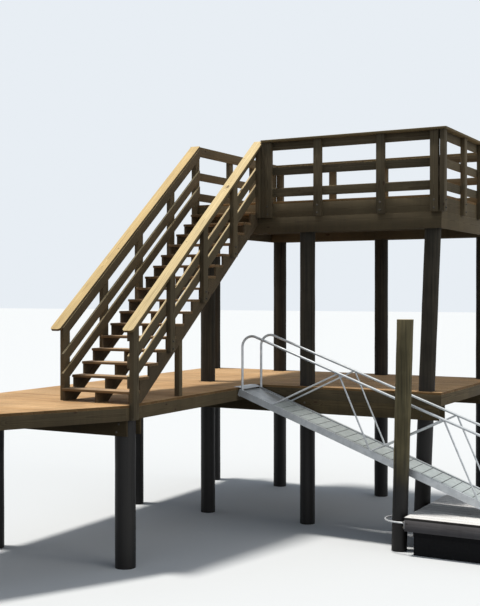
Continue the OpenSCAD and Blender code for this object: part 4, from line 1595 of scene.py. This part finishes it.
    def build(self) -> None:
        """Model the gangway's own pieces and dress the CAD nodes that stay."""
        for node in (
            "hinge_bracket", "threshold_plate", "gangway_hinge", "gangway_channels", "gangway_plate", "near_handrail",
            "far_handrail",
        ):
            dress_node(node, F.alloy)
        self.deck()
        self.rollers()
        self.weld_beads()


@dataclass
class LandingFloat:
    """The landing float: bleached boards on a skirt, with moulded drums under them."""

    x: Pair = (4.267, 9.147)
    y: Pair = (-1.3803, 0.6797)
    top: float = 0.590
    drums: int = 4
    drum_gap: float = 0.020
    hoop_leg: float = 0.258
    plate: Triple = (0.008, 0.100, 0.120)
    plate_z: float = 0.470
    plate_bolt: Pair = (0.036, 0.038)

    def boards(self) -> None:
        """Lay the deck's boards along the float."""
        middle, length = sum(self.x) / 2, self.x[1] - self.x[0]
        boards = [Board((middle, y, self.top - S.plank / 2), (length, width, S.plank)) for y, width in between(*self.y)]
        obj = lay_boards("float_deck_planks", boards)
        dress_timber(obj, F.float_deck, 501, Body.FLOAT, ["float_deck"], (1.0, 0.0, 0.0))

    def skirt(self) -> None:
        """Finish the skirt round the float."""
        obj = sawn_copy("float_skirt", "float_skirt_timber")
        dress_timber(obj, F.skirt, 502, Body.FLOAT, ["float_skirt"])

    def drum(self, size: Vector) -> Thing:
        """Model one drum round the origin: eased edges and a ring of recessed side panels."""
        obj = open_blank("drum")
        bpy.ops.mesh.primitive_cube_add(size=1, scale=size)
        bpy.ops.mesh.subdivide(number_cuts=3)
        to_mode("OBJECT")
        to_mode("EDIT")
        bpy.ops.mesh.select_mode(type="FACE")
        bpy.ops.mesh.select_all(action="DESELECT")
        to_mode("OBJECT")
        for polygon in obj.data.polygons:
            polygon.select = abs(polygon.normal.z) < 0.5
        to_mode("EDIT")
        bpy.ops.mesh.inset(thickness=0.022, depth=-0.012, use_individual=True)
        bpy.ops.mesh.select_mode(type="VERT")
        to_mode("OBJECT")
        ease_edges(obj, 0.006)
        return obj

    def float_drums(self) -> None:
        """Place the drums side by side."""
        low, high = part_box("float_drums")
        length = (high.x - low.x - (self.drums - 1) * self.drum_gap) / self.drums
        size = Vector((length, high.y - low.y, high.z - low.z))
        spots = []
        for i in range(self.drums):
            x = low.x + size.x / 2 + i * (size.x + self.drum_gap)
            spots.append(Matrix.Translation((x, (low.y + high.y) / 2, (low.z + high.z) / 2)))
        dress(copies(self.drum(size), spots, "float_drum_shells"), F.drums, Body.FLOAT, ["float_drums"])

    def hoop_plates(self) -> None:
        """Model the plates that hold the hoops' legs on the skirt."""
        boards = []
        for (x, y), side in zip(S.guide_piles, (-1, 1)):
            face = self.x[0] if side < 0 else self.x[1]
            across, up = self.plate_bolt
            for leg in (y - self.hoop_leg, y + self.hoop_leg):
                boards.append(Board((face + side * self.plate[0] / 2, leg, self.plate_z), self.plate))
                for z in (self.plate_z - up, self.plate_z + up):
                    for dy in (-across, across):
                        FIX.bolt((face + side * self.plate[0], leg + dy, z), (side, 0, 0), Body.FLOAT)
        obj = lay_boards("hoop_plates", boards)
        ease_edges(obj, 0.002)
        dress(obj, F.galvanised, Body.FLOAT)

    def build(self) -> None:
        """Model the float."""
        self.boards()
        self.skirt()
        self.float_drums()
        self.hoop_plates()
        dress_node("float_hoops", F.galvanised)


# ---- the studio ----


@dataclass
class Studio:
    """Plain pale floor, soft light and the camera at the photograph's angle."""

    eye: Triple = (9.72, -16.50, 3.99)
    heading: float = math.radians(28.75)
    pitch: float = math.radians(-0.525)
    lens: float = 62.26
    floor_size: float = 400.0
    background: tuple[float, ...] = paint(232, 238, 244)
    floor_seen: tuple[float, ...] = paint(226, 228, 230)
    floor_bounce: tuple[float, ...] = paint(96, 98, 102)
    fill: tuple[float, ...] = (0.78, 0.88, 1.0, 1.0)
    fill_strength: float = 0.36
    key_towards: Triple = (0.22, 0.08, -1.0)
    key_strength: float = 2.9
    key_angle: float = math.radians(7)
    key_colour: Triple = (1.0, 0.97, 0.91)
    side_towards: Triple = (-1.0, 0.10, -0.35)
    side_strength: float = 0.6
    side_angle: float = math.radians(40)
    side_colour: Triple = (1.0, 0.97, 0.9)

    def seen(self, sheet: Sheet) -> Socket:
        """Mask of the rays that show a background: camera, glossy and transmission rays."""
        rays = sheet.add("ShaderNodeLightPath").outputs
        either = sheet.math("MAXIMUM", rays["Is Camera Ray"], rays["Is Glossy Ray"])
        return sheet.math("MAXIMUM", either, rays["Is Transmission Ray"])

    def floor(self) -> None:
        """Lay the floor: pale where it is seen, and darker for the light that it throws back."""
        obj = open_blank("floor")
        bpy.ops.mesh.primitive_plane_add(size=self.floor_size, location=(0, 0, 0))
        to_mode("OBJECT")
        material, sheet, shader = open_material("pale floor")
        sheet.feed(shader.inputs["Base Color"], sheet.mix(self.seen(sheet), self.floor_bounce, self.floor_seen))
        shader.inputs["Roughness"].default_value = 0.9
        shader.inputs["Specular IOR Level"].default_value = 0.0
        obj.data.materials.append(material)

    def world(self) -> None:
        """Set the fill light and the pale background."""
        world = bpy.data.worlds.new("studio")
        bpy.context.scene.world = world
        world.use_nodes = True
        sheet = Sheet(world.node_tree)
        shown = world.node_tree.nodes["Background"]
        shown.inputs["Color"].default_value = self.background
        shown.inputs["Strength"].default_value = 1.0
        lit = sheet.add("ShaderNodeBackground")
        lit.inputs["Color"].default_value = self.fill
        lit.inputs["Strength"].default_value = self.fill_strength
        either = sheet.add("ShaderNodeMixShader")
        sheet.feed(either.inputs[0], self.seen(sheet))
        sheet.feed(either.inputs[1], lit.outputs[0])
        sheet.feed(either.inputs[2], shown.outputs[0])
        sheet.feed(world.node_tree.nodes["World Output"].inputs["Surface"], either.outputs[0])

    def lamp(self, name: str, towards: Triple, strength: float, angle: float, colour: Triple) -> None:
        """Hang one distant soft lamp.

        Args:
            name: Name of the lamp.
            towards: Direction in which its light travels.
            strength: Its strength.
            angle: Its angular size, which softens its shadows.
            colour: Its colour.
        """
        data = bpy.data.lights.new(name, "SUN")
        data.energy, data.angle, data.color = strength, angle, colour
        lamp = bpy.data.objects.new(name, data)
        lamp.rotation_euler = Vector(towards).to_track_quat("-Z", "Y").to_euler()
        bpy.context.scene.collection.objects.link(lamp)

    def camera(self) -> None:
        """Set the camera at the photograph's angle."""
        data = bpy.data.cameras.new("camera")
        data.lens, data.sensor_width = self.lens, 36.0
        camera = bpy.data.objects.new("camera", data)
        camera.location = self.eye
        camera.rotation_euler = (QUARTER + self.pitch, 0.0, self.heading)
        data.clip_end = 500.0
        bpy.context.scene.collection.objects.link(camera)
        bpy.context.scene.camera = camera

    def build(self) -> None:
        """Set up the whole studio."""
        self.floor()
        self.world()
        self.lamp("key", self.key_towards, self.key_strength, self.key_angle, self.key_colour)
        self.lamp("side", self.side_towards, self.side_strength, self.side_angle, self.side_colour)
        self.camera()
        bpy.context.scene.view_settings.view_transform = "Standard"


def main() -> None:
    """Build every sub-assembly in order."""
    for part in (RoundPiles(), SawnFrame(), Decks(), Guards(), Stair(), Gangway(), LandingFloat(), FIX, Studio()):
        part.build()
        LOG.info("%s done", type(part).__name__)
    clear_selection()


if __name__ == "__main__":
    main()
